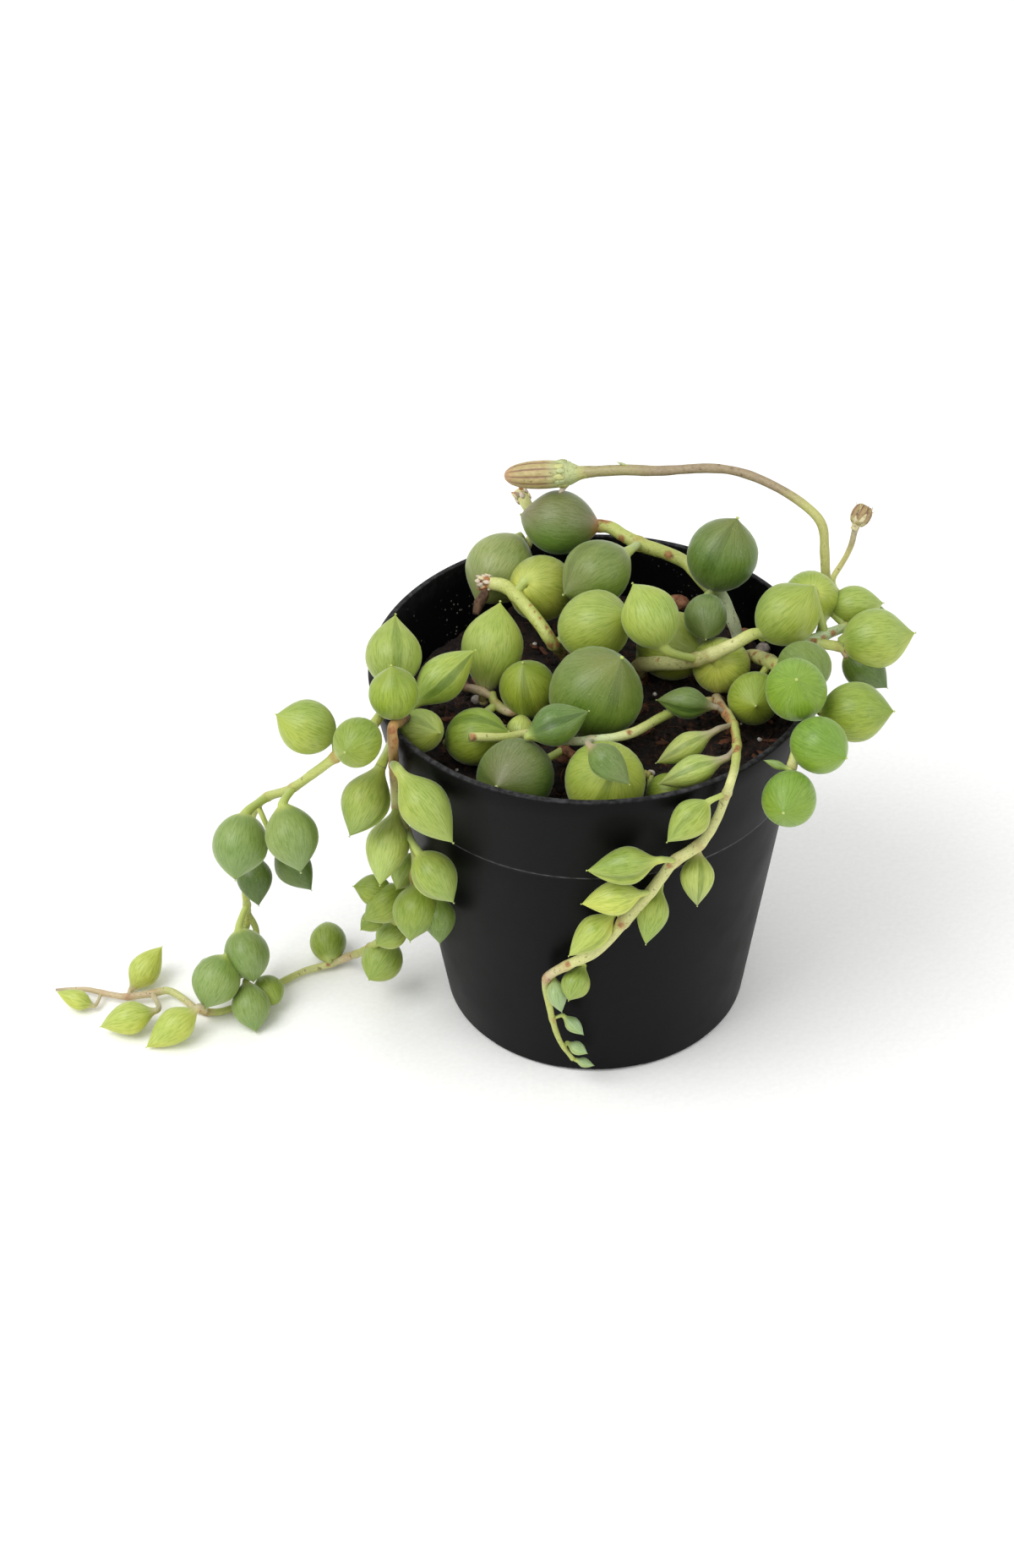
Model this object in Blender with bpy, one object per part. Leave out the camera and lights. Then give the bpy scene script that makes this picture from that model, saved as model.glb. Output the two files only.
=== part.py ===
"""A string of raindrops in a plain black nursery pot.

Trailing stems with drop-shaped leaves grow from the soil of a round pot. They crowd over the
soil, hang over the rim and lie along the surface that the pot stands on. Origin: the centre of
the pot's base, on the surface. +Z is up and -Y is the side that the photograph shows.

Stems and leaves are read from the photograph: each point is a pixel of the 1200 by 1855 picture
with a height in millimetres, or with what it rests on, and from_photo() turns it into a place.
"""
import math
from collections import namedtuple

import bpy
import bmesh
import numpy as np
from mathutils import Matrix, Vector

MM = 0.001

# Pot, in millimetres
POT_HEIGHT = 83.2
RIM_RADIUS = 45.0
BASE_RADIUS = 32.0
BASE_BEVEL = 1.2
RIM_BEVEL = 0.4
RIM_LIP = 0.15
INNER_FILLET = 0.2
BAND_HEIGHT = 22.2
BAND_FOOT = POT_HEIGHT - BAND_HEIGHT
BAND_RADIUS = 41.1
BAND_STEP = 0.5
WALL = 1.3
FLOOR = 1.6
FOOT_NOTCHES = 6
NOTCH_WIDTH = 17.0
NOTCH_DEPTH = 0.7
NOTCH_START = 21.17
NOTCH_END = 34.0
DRAIN_RADIUS = 3.0
DRAIN_CIRCLE = 22.0
DRAIN_TURN = math.radians(10)
DRAIN_SIDES = 12
POT_SIDES = 40
POT_CREASE = math.radians(30)

# Soil, in millimetres
SOIL_HEIGHT = 70.5
SOIL_EDGE_DROP = 0.8
SOIL_SLOPE = (0.045, 0.02)
SOIL_BUMP = 0.45
SOIL_SIDES = 36
SOIL_RINGS = 8
SOIL_TOP_GAP = 0.6
SOIL_WAIST_GAP = 0.55
SOIL_FOOT_GAP = 0.4
SOIL_CREASE = math.radians(45)
HOLE_SLACK = 0.45
HOLE_RISE = 4.0
ROOT_DEPTH = 9.0
STONE_SEAT = 0.35
STONE_ROUGHNESS = 0.1

# Gap kept between neighbours, in millimetres
GAP = 0.3

# Start and step of the search down for a resting place, and a leaf's first guess, in millimetres
SEARCH_START = 95.0
SEARCH_STEP = 0.05
FIRST_LIFT = 5.0

# Profile powers of a leaf's foot and tip: length in radii, first power, second power
FOOT_POWERS = ((1.1, 2.0, 0.55), (1.4, 2.1, 1.1), (1.75, 2.3, 1.9), (2.4, 2.0, 2.2))
TIP_POWERS = ((1.05, 2.0, 0.5), (1.15, 2.1, 0.7), (1.33, 2.5, 1.35), (1.6, 2.0, 1.2), (2.0, 1.8, 1.1))

# The view that the pixels belong to
PICTURE_CENTRE = np.array([600.0, 927.5])
FOCAL_LENGTH = 3500.0
VIEW_DISTANCE = 617.1
VIEW_ELEVATION = math.radians(38.97)
VIEW_ROLL = math.radians(1.683)
VIEW_SHIFT = np.array([103.2, -50.7])
VIEW_TARGET = np.array([0.0, 0.0, 40.0])

# Colour, roughness
MATERIALS = {
    "black_plastic": ("#1b1b1d", 0.55),
    "peat_soil": ("#2b1f18", 0.95),
    "leaf_green": ("#7f9f4f", 0.45),
    "pale_green": ("#a9b86a", 0.45),
    "stalk_brown": ("#84705a", 0.55),
    "bud_brown": ("#77684a", 0.6),
    "bark_brown": ("#7a4f35", 0.85),
    "pumice": ("#9a6a4a", 0.9),
    "grey_stone": ("#a39a90", 0.85),
    "perlite": ("#e6e2da", 0.9),
}

# A stem point or a leaf rests on the soil, on the pot's wall or on the table, at that distance
# from it, or is in the air at that height
Leaf = namedtuple("Leaf", "x y radius tip_x tip_y rest lift facing slim neck")
SOIL, WALL_SIDE, TABLE, AIR = "soil", "wall", "table", "air"


def leaf(x, y, radius, tip_x, tip_y, rest, lift, facing=1, slim=1.3, neck=None):
    """A leaf's bulk centre and tip in pixels, facing 1 with the tip nearer the viewer, -1 away.

    slim and neck are the lengths to the tip and to the foot, in radii.
    """
    neck = neck or 1.12 + 1.3 * max(0.0, slim - 1.3)
    return Leaf(x, y, radius, tip_x, tip_y, rest, lift, facing, slim, neck)


# Stems: pixel x, pixel y, rest, lift or height, radius in mm, from the root to the tip
STRANDS = {
    "strand_back": {
        "material": "leaf_green",
        "stems": [
            [(872, 774, AIR, 73.0, 1.1), (873, 754, AIR, 75, 1.2), (865, 730, AIR, 79.5, 1.3),
             (852, 703, AIR, 84, 1.4), (835, 690, AIR, 85.5, 1.4),
             (815, 668, AIR, 87, 1.4), (790, 655, AIR, 88.5, 1.4), (760, 645, AIR, 90, 1.4),
             (737, 633, AIR, 91, 1.35), (722, 624, AIR, 91.6, 1.25), (704, 622, AIR, 91.8, 1.1)],
        ],
        "leaves": [
            leaf(661.5, 617.5, 38.5, 616, 612, AIR, 92.8, 1, 1.18, 1.22),
            leaf(706, 678, 38.5, 666, 706, AIR, 91.4, 1, 1.3, 1.18),
            leaf(855, 656, 42, 867, 616, AIR, 93.5),
            leaf(835, 730, 26, 833, 756, AIR, 88.2),
        ],
    },
    "strand_back_left": {
        "material": "leaf_green",
        "stems": [
            [(680, 790, AIR, 71.5, 1.2), (668, 776, AIR, 77, 1.2), (652, 758, AIR, 83, 1.25),
             (640, 740, AIR, 85.5, 1.3), (620, 715, AIR, 87.5, 1.3),
             (600, 695, AIR, 88, 1.35), (580, 690, AIR, 88, 1.35), (566, 688, AIR, 88, 1.4)],
            [(622, 648, AIR, 85.6, 0.9), (634, 622, AIR, 87.2, 1.0), (622, 597, AIR, 92.0, 1.05),
             (611, 581, AIR, 93.6, 1.15)],
        ],
        "leaves": [
            leaf(591, 673, 40, 565, 715, AIR, 84.7, 1, 1.3, 1.2),
            leaf(641, 696, 39, 665, 702, AIR, 85.5, -1),
            leaf(704, 740, 42.5, 742, 728, AIR, 88.2),
        ],
    },
    "strand_middle": {
        "material": "leaf_green",
        "stems": [
            [(636, 846, AIR, 73.2, 1.1), (632, 838, AIR, 75.6, 1.1), (618, 838, AIR, 75.6, 1.05),
             (602, 842, AIR, 74.6, 1.0),
             (586, 832, AIR, 75.5, 0.9), (582, 820, AIR, 76.5, 0.8)],
            [(634, 842, AIR, 74.8, 1.0), (655, 868, AIR, 74.4, 1.0), (672, 890, AIR, 74, 0.9),
             (700, 900, AIR, 74.6, 0.9), (740, 908, AIR, 74, 0.8), (770, 918, AIR, 74, 0.7)],
        ],
        "leaves": [
            leaf(583, 765, 37, 592, 712, AIR, 82, -1, 1.4, 1.75),
            leaf(625, 815, 34, 616, 788, SOIL, 2.2),
            leaf(705, 820, 55, 732, 782, AIR, 83.5),
            leaf(563, 872, 34, 601, 863, SOIL, 0.6),
            leaf(616, 865, 17, 619, 843, SOIL, 0.7, -1, 1.4),
            leaf(610, 918, 45, 590, 928, SOIL, 0.5),
            leaf(716, 925, 48, 728, 905, SOIL, 1.5),
            leaf(790, 940, 25, 812, 934, SOIL, 0.9),
        ],
    },
    "strand_front": {
        "material": "leaf_green",
        "stems": [
            [(853, 829, AIR, 72.7, 1.1), (848, 827, AIR, 75.2, 1.1), (855, 838, AIR, 78, 1.05),
             (867, 856, AIR, 81, 0.95), (872, 880, AIR, 83.5, 0.85),
             (870, 905, AIR, 85.5, 0.88), (865, 924, AIR, 86.3, 0.85), (857, 947, WALL_SIDE, 2.4, 0.85),
             (847, 971, WALL_SIDE, 2.4, 0.9), (832, 995, WALL_SIDE, 2.6, 1.05),
             (815, 1008, WALL_SIDE, 3.0, 1.1), (795, 1022, WALL_SIDE, 3.0, 1.1),
             (769, 1056, WALL_SIDE, 3.0, 1.1), (738, 1091, WALL_SIDE, 3.0, 1.15),
             (704, 1126, WALL_SIDE, 3.0, 1.1), (675, 1140, WALL_SIDE, 3.0, 0.95),
             (650, 1154, WALL_SIDE, 3.0, 0.85), (646, 1168, WALL_SIDE, 3.0, 0.75),
             (650, 1190, WALL_SIDE, 3.0, 0.65), (656, 1214, WALL_SIDE, 3.0, 0.6),
             (664, 1234, WALL_SIDE, 3.0, 0.5), (678, 1253, WALL_SIDE, 3.0, 0.45)],
            [(848, 830, AIR, 75.8, 1.0), (820, 832, AIR, 77.5, 1.0), (797, 842, AIR, 79, 1.0),
             (780, 850, AIR, 80, 0.95), (745, 868, AIR, 81.5, 0.95), (700, 876, AIR, 82, 0.9),
             (660, 876, AIR, 80.5, 0.85), (628, 868, AIR, 78.9, 0.85), (600, 872, AIR, 79.4, 0.9),
             (556, 872, AIR, 81, 0.9)],
        ],
        "leaves": [
            leaf(657, 858, 25, 697, 842, AIR, 85.9, 1, 1.6, 1.4),
            leaf(717, 900, 20, 746, 927, AIR, 89.8, 1, 1.6, 1.3),
            leaf(813, 832, 19, 777, 827, AIR, 81.5, 1, 1.9),
            leaf(812, 881, 17, 777, 904, AIR, 81.5, 1, 2.0, 2.4),
            leaf(822, 912, 19, 780, 929, AIR, 82.3, 1, 2.0, 2.2),
            leaf(818, 968, 22, 789, 996, WALL_SIDE, 0.6, 1, 1.6),
            leaf(825, 1037, 20, 824, 1072, WALL_SIDE, 0.9, 1, 1.7),
            leaf(742, 1024, 23, 695, 1032, WALL_SIDE, 0.8, 1, 1.8),
            leaf(729, 1062, 21.5, 688, 1069, WALL_SIDE, 0.6, 1, 1.7, 1.5),
            leaf(773, 1080, 18.5, 763, 1117, WALL_SIDE, 0.6, 1, 1.8, 1.9),
            leaf(703, 1103, 20, 673, 1131, WALL_SIDE, 0.6, 1, 1.8),
            leaf(681, 1164, 17, 672, 1183, WALL_SIDE, 0.6, 1, 1.3, 1.45),
            leaf(659, 1175, 12.5, 664, 1198, WALL_SIDE, 2.4, 1, 1.7),
            leaf(678, 1212, 9, 691, 1224, WALL_SIDE, 1.6, 1, 1.8),
            leaf(683, 1240, 8, 695, 1246, WALL_SIDE, 1.6, 1, 1.8),
            leaf(691, 1257, 6, 703, 1261, WALL_SIDE, 2.0, 1, 1.8),
        ],
    },
    "strand_right": {
        "material": "leaf_green",
        "stems": [
            [(757, 798, AIR, 71.9, 1.6), (758, 787, AIR, 76, 1.65), (782, 785, AIR, 80, 1.5),
             (810, 784, AIR, 82, 1.4), (840, 775, AIR, 85.3, 1.35),
             (868, 763, AIR, 88, 1.3), (893, 750, AIR, 89.5, 1.15), (920, 752, AIR, 87.5, 1.1),
             (945, 757, AIR, 86.3, 1.1), (962, 756, AIR, 86.3, 1.1), (987, 747, AIR, 86.5, 1.0),
             (1003, 741, AIR, 86.5, 0.9)],
            [(948, 757, AIR, 86.3, 0.9), (975, 762, AIR, 85.9, 1.0), (995, 766, AIR, 85.3, 0.9),
             (1003, 776, AIR, 83.6, 0.7)],
        ],
        "leaves": [
            leaf(769, 730, 34, 751, 689, AIR, 95.2, -1),
            leaf(795, 764, 40, 830, 780, SOIL, 0.5),
            leaf(853, 787, 34, 860, 790, AIR, 79.3, -1, 1.15),
            leaf(932, 726, 37.5, 962, 697, AIR, 92, 1, 1.25),
            leaf(960, 708, 33, 963, 714, AIR, 89.5, -1, 1.1),
            leaf(1010, 717, 25, 1046, 713, AIR, 88),
            leaf(1036, 755, 35, 1083, 751, AIR, 87),
            leaf(1022, 790, 24, 1051, 813, AIR, 81),
            leaf(1029, 726, 15, 1054, 728, AIR, 85, 1, 1.6),
        ],
    },
    "strand_right_low": {
        "material": "leaf_green",
        "stems": [
            [(879, 788, AIR, 73.0, 1.4), (887, 777, AIR, 77, 1.5), (905, 780, AIR, 81, 1.45),
             (925, 792, AIR, 83, 1.3), (945, 812, AIR, 84.5, 1.1),
             (958, 840, AIR, 86.0, 0.95), (955, 862, AIR, 86.6, 0.9), (944, 885, AIR, 86.2, 0.95),
             (938, 903, AIR, 84, 1.0), (935, 920, AIR, 81, 0.8)],
            [(957, 836, AIR, 86.1, 0.8), (971, 838, AIR, 86.3, 0.8), (986, 841, AIR, 86.2, 0.75)],
        ],
        "leaves": [
            leaf(952, 789, 31, 975, 806, AIR, 89),
            leaf(942, 816, 37, 936, 809, AIR, 92.5),
            leaf(892, 826, 31, 890, 838, SOIL, 3.4),
            leaf(1012, 842, 35.5, 1057, 841, AIR, 86),
            leaf(970, 882, 34, 997, 897, AIR, 87),
            leaf(934, 945, 33, 922, 963, AIR, 80),
            leaf(920, 905, 5, 904, 899, AIR, 84.5, 1, 3.0),
        ],
    },
    "strand_left_long": {
        "material": "leaf_green",
        "stems": [
            [(500, 846, AIR, 70, 1.1), (490, 843, AIR, 76, 1.1), (477, 851, AIR, 84, 1.1),
             (465, 860, AIR, 87.3, 1.15), (465, 882, WALL_SIDE, 2.2, 1.1),
             (466, 905, WALL_SIDE, 1.8, 1.1), (468, 940, WALL_SIDE, 2.0, 0.95),
             (472, 965, AIR, 59.5, 0.9), (484, 990, AIR, 54.5, 0.9), (492, 1012, AIR, 50.5, 0.9),
             (488, 1045, AIR, 42.5, 0.9), (474, 1080, AIR, 32, 0.85), (455, 1108, AIR, 21, 0.85),
             (432, 1124, AIR, 10.5, 0.85), (412, 1132, TABLE, 3.4, 0.9),
             (385, 1142, TABLE, 1.6, 0.8), (360, 1149, TABLE, 1.2, 0.75),
             (335, 1161, TABLE, 1.1, 0.75), (310, 1176, TABLE, 1.1, 0.75),
             (282, 1190, TABLE, 1.1, 0.75), (258, 1197, TABLE, 1.1, 0.75),
             (234, 1194, TABLE, 1.3, 0.75), (215, 1180, TABLE, 1.8, 0.75),
             (198, 1172, TABLE, 2.6, 0.8), (178, 1176, TABLE, 2.6, 0.75),
             (150, 1179, TABLE, 2.4, 0.7), (128, 1176, TABLE, 2.2, 0.65),
             (105, 1171, TABLE, 2.0, 0.55), (85, 1170, TABLE, 1.8, 0.4),
             (66, 1171, TABLE, 1.6, 0.25)],
        ],
        "leaves": [
            leaf(466, 820, 30, 466, 789, AIR, 92.3),
            leaf(523, 803, 27, 561, 768, AIR, 84.5, -1, 1.9),
            leaf(498, 864, 26.5, 522, 867, AIR, 79),
            leaf(433, 948, 29, 415, 990, AIR, 68, 1, 1.5, 1.6),
            leaf(502, 953, 30, 535, 998, WALL_SIDE, 0.6, 1, 1.6, 1.75),
            leaf(459, 1000, 25, 448, 1047, WALL_SIDE, 3.0, 1, 1.7, 1.75),
            leaf(514, 1035, 27, 537, 1068, WALL_SIDE, 0.6, 1, 1.4, 1.15),
            leaf(492, 1077, 27, 483, 1114, AIR, 41, 1, 1.4),
            leaf(458, 1068, 23, 431, 1090, AIR, 37, 1, 1.4),
            leaf(443, 1053, 18.5, 418, 1047, AIR, 39, 1, 1.35),
            leaf(463, 1105, 18, 445, 1118, AIR, 25, 1, 1.3),
            leaf(519, 1085, 20, 522, 1117, WALL_SIDE, 0.6, 1, 1.5),
            leaf(452, 1136, 24, 438, 1160, AIR, 11),
            leaf(481, 1030, 19, 470, 1052, AIR, 44, 1, 1.4),
            leaf(441, 1089, 13, 427, 1099, AIR, 31, 1, 1.6),
            leaf(388, 1114, 22, 386, 1092, TABLE, 0.6, -1, 1.15),
            leaf(208, 1213, 21, 174, 1240, TABLE, 0.7, 1, 1.7),
            leaf(154, 1204, 20, 118, 1214, TABLE, 0.6, 1, 1.7),
            leaf(171, 1148, 18.5, 191, 1119, TABLE, 0.8, -1, 1.6),
            leaf(93, 1183, 12, 67, 1173, TABLE, 0.6, 1, 1.7),
        ],
    },
    "strand_left_short": {
        "material": "leaf_green",
        "stems": [
            [(488, 818, AIR, 70, 1.1), (478, 816, AIR, 77, 1.1), (462, 828, AIR, 83.5, 1.1),
             (450, 846, AIR, 86.2, 1.0), (438, 862, AIR, 85.8, 1.0),
             (420, 880, AIR, 83, 1.0), (398, 895, AIR, 80, 1.0), (375, 912, AIR, 76, 0.95),
             (345, 933, AIR, 69, 0.9), (318, 942, AIR, 63, 0.9), (302, 956, AIR, 57, 0.9),
             (292, 990, AIR, 46, 0.9), (289, 1030, AIR, 33, 0.85), (291, 1060, AIR, 24, 0.8),
             (293, 1080, AIR, 17, 0.8), (291, 1098, AIR, 12.5, 0.7)],
            [(293, 1080, AIR, 17, 0.7), (303, 1100, AIR, 12, 0.7), (303, 1130, AIR, 6, 0.7),
             (302, 1152, AIR, 5, 0.7)],
        ],
        "leaves": [
            leaf(466, 776, 33, 465, 727, AIR, 88.5, -1, 1.5),
            leaf(363, 860, 32, 327, 846, AIR, 84),
            leaf(423, 878, 29.5, 410, 893, AIR, 88),
            leaf(284, 999, 33, 276, 1041, AIR, 58, 1, 1.3),
            leaf(345, 989, 31, 357, 1032, AIR, 64, 1, 1.4),
            leaf(301, 1038, 21, 305, 1072, AIR, 38, 1, 1.5),
            leaf(347, 1025, 22, 369, 1053, AIR, 50, -1, 1.5),
            leaf(292, 1129, 27.5, 302, 1161, AIR, 14, 1, 1.2),
            leaf(256, 1160, 28, 241, 1193, AIR, 10.5, 1, 1.25),
            leaf(297, 1190, 23, 304, 1221, TABLE, 0.4, 1, 1.4),
            leaf(249, 1147, 14, 237, 1136, AIR, 4.6, -1, 1.6),
            leaf(318, 1172, 18, 330, 1185, TABLE, 1.0, 1, 1.2),
        ],
    },
}

# The flower's stalk, from its root among the leaves to the bud
FLOWER_STALK = [
    (970, 750, AIR, 84.7, 0.8), (973, 738, AIR, 82.8, 0.75), (978, 722, AIR, 82.7, 0.8),
    (982, 709, AIR, 84.6, 0.85), (980, 692, AIR, 88.0, 0.9), (977, 676, AIR, 91.2, 0.95),
    (976, 655, AIR, 95, 0.95),
    (973, 622, AIR, 100.5, 0.95), (955, 600, AIR, 103.5, 0.9), (920, 577, AIR, 105.8, 0.9),
    (880, 560, AIR, 107, 0.92), (840, 554, AIR, 107.2, 0.95), (780, 557, AIR, 106, 1.02),
    (740, 556, AIR, 105, 1.1), (700, 558, AIR, 103.9, 1.22), (684, 559, AIR, 103.4, 1.3),
]
BUD_STALK = [
    (996, 705, AIR, 87.2, 0.7), (988, 696, AIR, 88.7, 0.6), (986, 684, AIR, 90.8, 0.58),
    (996, 667, AIR, 93.8, 0.57), (1003, 655, AIR, 96.2, 0.57), (1008, 643, AIR, 98.4, 0.58),
    (1011, 630, AIR, 100.5, 0.6), (1013, 623, AIR, 101.8, 0.72),
]
# Buds: pixel and height of the foot and the tip, greatest radius in mm
FLOWER_BUD = ((681, 560, 103.3), (597, 563, 101.5), 2.75)
CALYX_LENGTH = 3.2
SMALL_BUD = ((1014, 619, 102.5), (1026, 597, 105.6), 2.0)
BUD_RIBS = 8

# Stones and bark in the soil: name, pixel, radii in mm, material
STONES = [
    ("pumice_large", 801, 713, (2.7, 1.9, 1.6), "pumice"),
    ("pumice_small", 881, 750, (1.6, 1.4, 1.2), "pumice"),
    ("stone_grey", 903, 768, (1.5, 1.6, 1.3), "grey_stone"),
    ("stone_left", 566, 828, (1.5, 1.2, 1.1), "grey_stone"),
    ("bark_front", 672, 898, (2.2, 1.5, 1.0), "bark_brown"),
    ("perlite_front", 770, 915, (0.9, 0.8, 0.7), "perlite"),
]

# A bud's share of the length and share of the greatest radius, from the foot to the tip
BUD_PROFILE = [(0.0, 0.72), (0.12, 0.95), (0.35, 1.0), (0.7, 0.92), (0.9, 0.62), (1.0, 0.0)]
BUD_FOLD = 0.06

# Leaves and stems as solids; lengths in millimetres
LEAF_SIDES = 8
LEAF_RINGS = 6
SMALL_LEAF_RINGS = 5
SMALL_LEAF = 4.0
STEM_STEP = 5.0
STRAND_CREASE = math.radians(50)

# A leaf's short stalk: its radius is a share of the leaf's, between two limits in millimetres. It
# starts inside the leaf's foot, leaves it at the edge and sags towards the stem, in shares.
PETIOLE_STEP = 4.0
PETIOLE_RADIUS = 0.14
PETIOLE_LEAST = 0.34
PETIOLE_MOST = 0.8
PETIOLE_FLARE = 1.2
PETIOLE_INSIDE = 0.6
PETIOLE_EDGE = 0.9
PETIOLE_SAG = 0.25
PETIOLE_ABOVE_SOIL = 1.5


def view_axes():
    """The picture's right and up and the way back to the viewer, and where the viewer is."""
    right = np.array([1.0, 0.0, 0.0])
    up = np.array([0.0, math.sin(VIEW_ELEVATION), math.cos(VIEW_ELEVATION)])
    back = np.array([0.0, -math.cos(VIEW_ELEVATION), math.sin(VIEW_ELEVATION)])
    turn, lean = math.cos(VIEW_ROLL), math.sin(VIEW_ROLL)
    right, up = right * turn - up * lean, right * lean + up * turn
    offset = VIEW_SHIFT * VIEW_DISTANCE / FOCAL_LENGTH
    eye = VIEW_TARGET + back * VIEW_DISTANCE - right * offset[0] - up * offset[1]
    return right, up, back, eye


RIGHT, UP, BACK, EYE = view_axes()


def sight(x, y):
    """Unit direction from the viewer through a pixel."""
    across, down = (np.array([x, y]) - PICTURE_CENTRE) / FOCAL_LENGTH
    way = RIGHT * across - UP * down - BACK
    return way / np.linalg.norm(way)


def from_photo(x, y, height):
    """The place at that height, in mm, that the viewer sees at a pixel."""
    way = sight(x, y)
    return EYE + way * ((height - EYE[2]) / way[2])


def pixel_size(place):
    """Millimetres that one pixel covers at a place."""
    return float((EYE - place) @ BACK) / FOCAL_LENGTH


def wall_radius(height):
    """Outer radius of the pot at a height, not counting that the body is set in under the band."""
    if height < BAND_FOOT:
        return BASE_RADIUS + (BAND_RADIUS - BASE_RADIUS) * max(height, 0.0) / BAND_FOOT
    share = min((height - BAND_FOOT) / BAND_HEIGHT, 1.0)
    return BAND_RADIUS + (RIM_RADIUS - BAND_RADIUS) * share


def soil_height(x, y):
    """Top of the soil: low at the wall, with small uneven bumps."""
    reach = math.hypot(x, y) / (RIM_RADIUS - WALL)
    bumps = math.sin(0.55 * x + 0.9) * math.cos(0.47 * y - 0.4) + 0.6 * math.sin(0.91 * x - 0.77 * y)
    slope = SOIL_SLOPE[0] * x + SOIL_SLOPE[1] * y
    return SOIL_HEIGHT + slope - SOIL_EDGE_DROP * reach ** 2 + SOIL_BUMP * bumps


def clearance(place, rest):
    """Distance of a place from the soil, the wall or the table."""
    if rest == SOIL:
        return place[2] - soil_height(place[0], place[1])
    if rest == WALL_SIDE:
        return math.hypot(place[0], place[1]) - wall_radius(place[2])
    return place[2]


def rest_on(x, y, rest, distance):
    """The place on a pixel's line of sight at that distance from what it rests on.

    Seen from the viewer it is the first one, or the closest if the line passes further off.
    """
    if rest == AIR:
        return from_photo(x, y, distance)
    height, gap = SEARCH_START, clearance(from_photo(x, y, SEARCH_START), rest)
    while gap > distance:
        lower = clearance(from_photo(x, y, height - SEARCH_STEP), rest)
        if lower >= gap:
            break
        height -= SEARCH_STEP
        gap = lower
    return from_photo(x, y, height)


def leaf_frame(spec):
    """Centre, axis towards the tip, radius, and lengths to the tip and to the foot."""
    rough = rest_on(spec.x, spec.y, spec.rest, spec.lift if spec.rest == AIR else FIRST_LIFT)
    radius = spec.radius * pixel_size(rough)
    lift = spec.lift if spec.rest == AIR else spec.lift + radius
    centre = rest_on(spec.x, spec.y, spec.rest, lift)
    size = pixel_size(centre)
    across, up = (spec.tip_x - spec.x) * size, (spec.y - spec.tip_y) * size
    flat = math.hypot(across, up)
    reach = max(radius * spec.slim, flat)
    depth = spec.facing * math.sqrt(max(reach * reach - flat * flat, 0.0))
    axis = (RIGHT * across + UP * up + BACK * depth) / reach
    return centre, axis, radius, reach, radius * spec.neck


def smooth_route(points, radii, step=STEM_STEP):
    """Points of a smooth curve through the given ones, about one step apart, with radii."""
    points = np.array(points, dtype=float)
    padded = np.vstack([2 * points[0] - points[1], points, 2 * points[-1] - points[-2]])
    route, width = [], []
    for k in range(len(points) - 1):
        before, start, end, after = padded[k:k + 4]
        count = max(1, round(np.linalg.norm(end - start) / step))
        for i in range(count):
            t = i / count
            route.append(0.5 * (2 * start + (end - before) * t
                                + (2 * before - 5 * start + 4 * end - after) * t ** 2
                                + (3 * start - before - 3 * end + after) * t ** 3))
            width.append(radii[k] + (radii[k + 1] - radii[k]) * t)
    route.append(points[-1])
    width.append(radii[-1])
    return np.array(route), np.array(width)


def add_object(name, mesh, material=None):
    body = bpy.data.objects.new(name, mesh)
    bpy.context.scene.collection.objects.link(body)
    if material:
        mesh.materials.clear()
        mesh.materials.append(make_material(material))
    return body


def make_material(name):
    if name in bpy.data.materials:
        return bpy.data.materials[name]
    shade, roughness = MATERIALS[name]
    parts = [int(shade[k:k + 2], 16) / 255 for k in (1, 3, 5)]
    linear = [c / 12.92 if c <= 0.04045 else ((c + 0.055) / 1.055) ** 2.4 for c in parts]
    material = bpy.data.materials.new(name)
    material.use_nodes = True
    shader = material.node_tree.nodes["Principled BSDF"]
    shader.inputs["Base Color"].default_value = (*linear, 1.0)
    shader.inputs["Roughness"].default_value = roughness
    shader.inputs["Metallic"].default_value = 0.0
    return material


def tube(name, points, radii, sides=6):
    """Round stem along points in mm, with filled ends."""
    curve = bpy.data.curves.new(name, "CURVE")
    curve.dimensions = "3D"
    curve.bevel_depth = MM
    curve.bevel_resolution = (sides - 4) // 2
    curve.use_fill_caps = True
    spline = curve.splines.new("POLY")
    spline.points.add(len(points) - 1)
    for point, place, radius in zip(spline.points, points, radii):
        point.co = (*(np.array(place) * MM), 1.0)
        point.radius = radius
    guide = bpy.data.objects.new(name + "_curve", curve)
    bpy.context.scene.collection.objects.link(guide)
    seen = guide.evaluated_get(bpy.context.evaluated_depsgraph_get())
    mesh = bpy.data.meshes.new_from_object(seen)
    bpy.data.objects.remove(guide)
    bpy.data.curves.remove(curve)
    body = add_object(name, mesh)
    weld(mesh)
    return body


def weld(mesh):
    """Joins doubled points and turns all faces outward."""
    shape = bmesh.new()
    shape.from_mesh(mesh)
    bmesh.ops.remove_doubles(shape, verts=shape.verts, dist=0.00001)
    bmesh.ops.recalc_face_normals(shape, faces=shape.faces)
    shape.to_mesh(mesh)
    shape.free()


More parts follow.
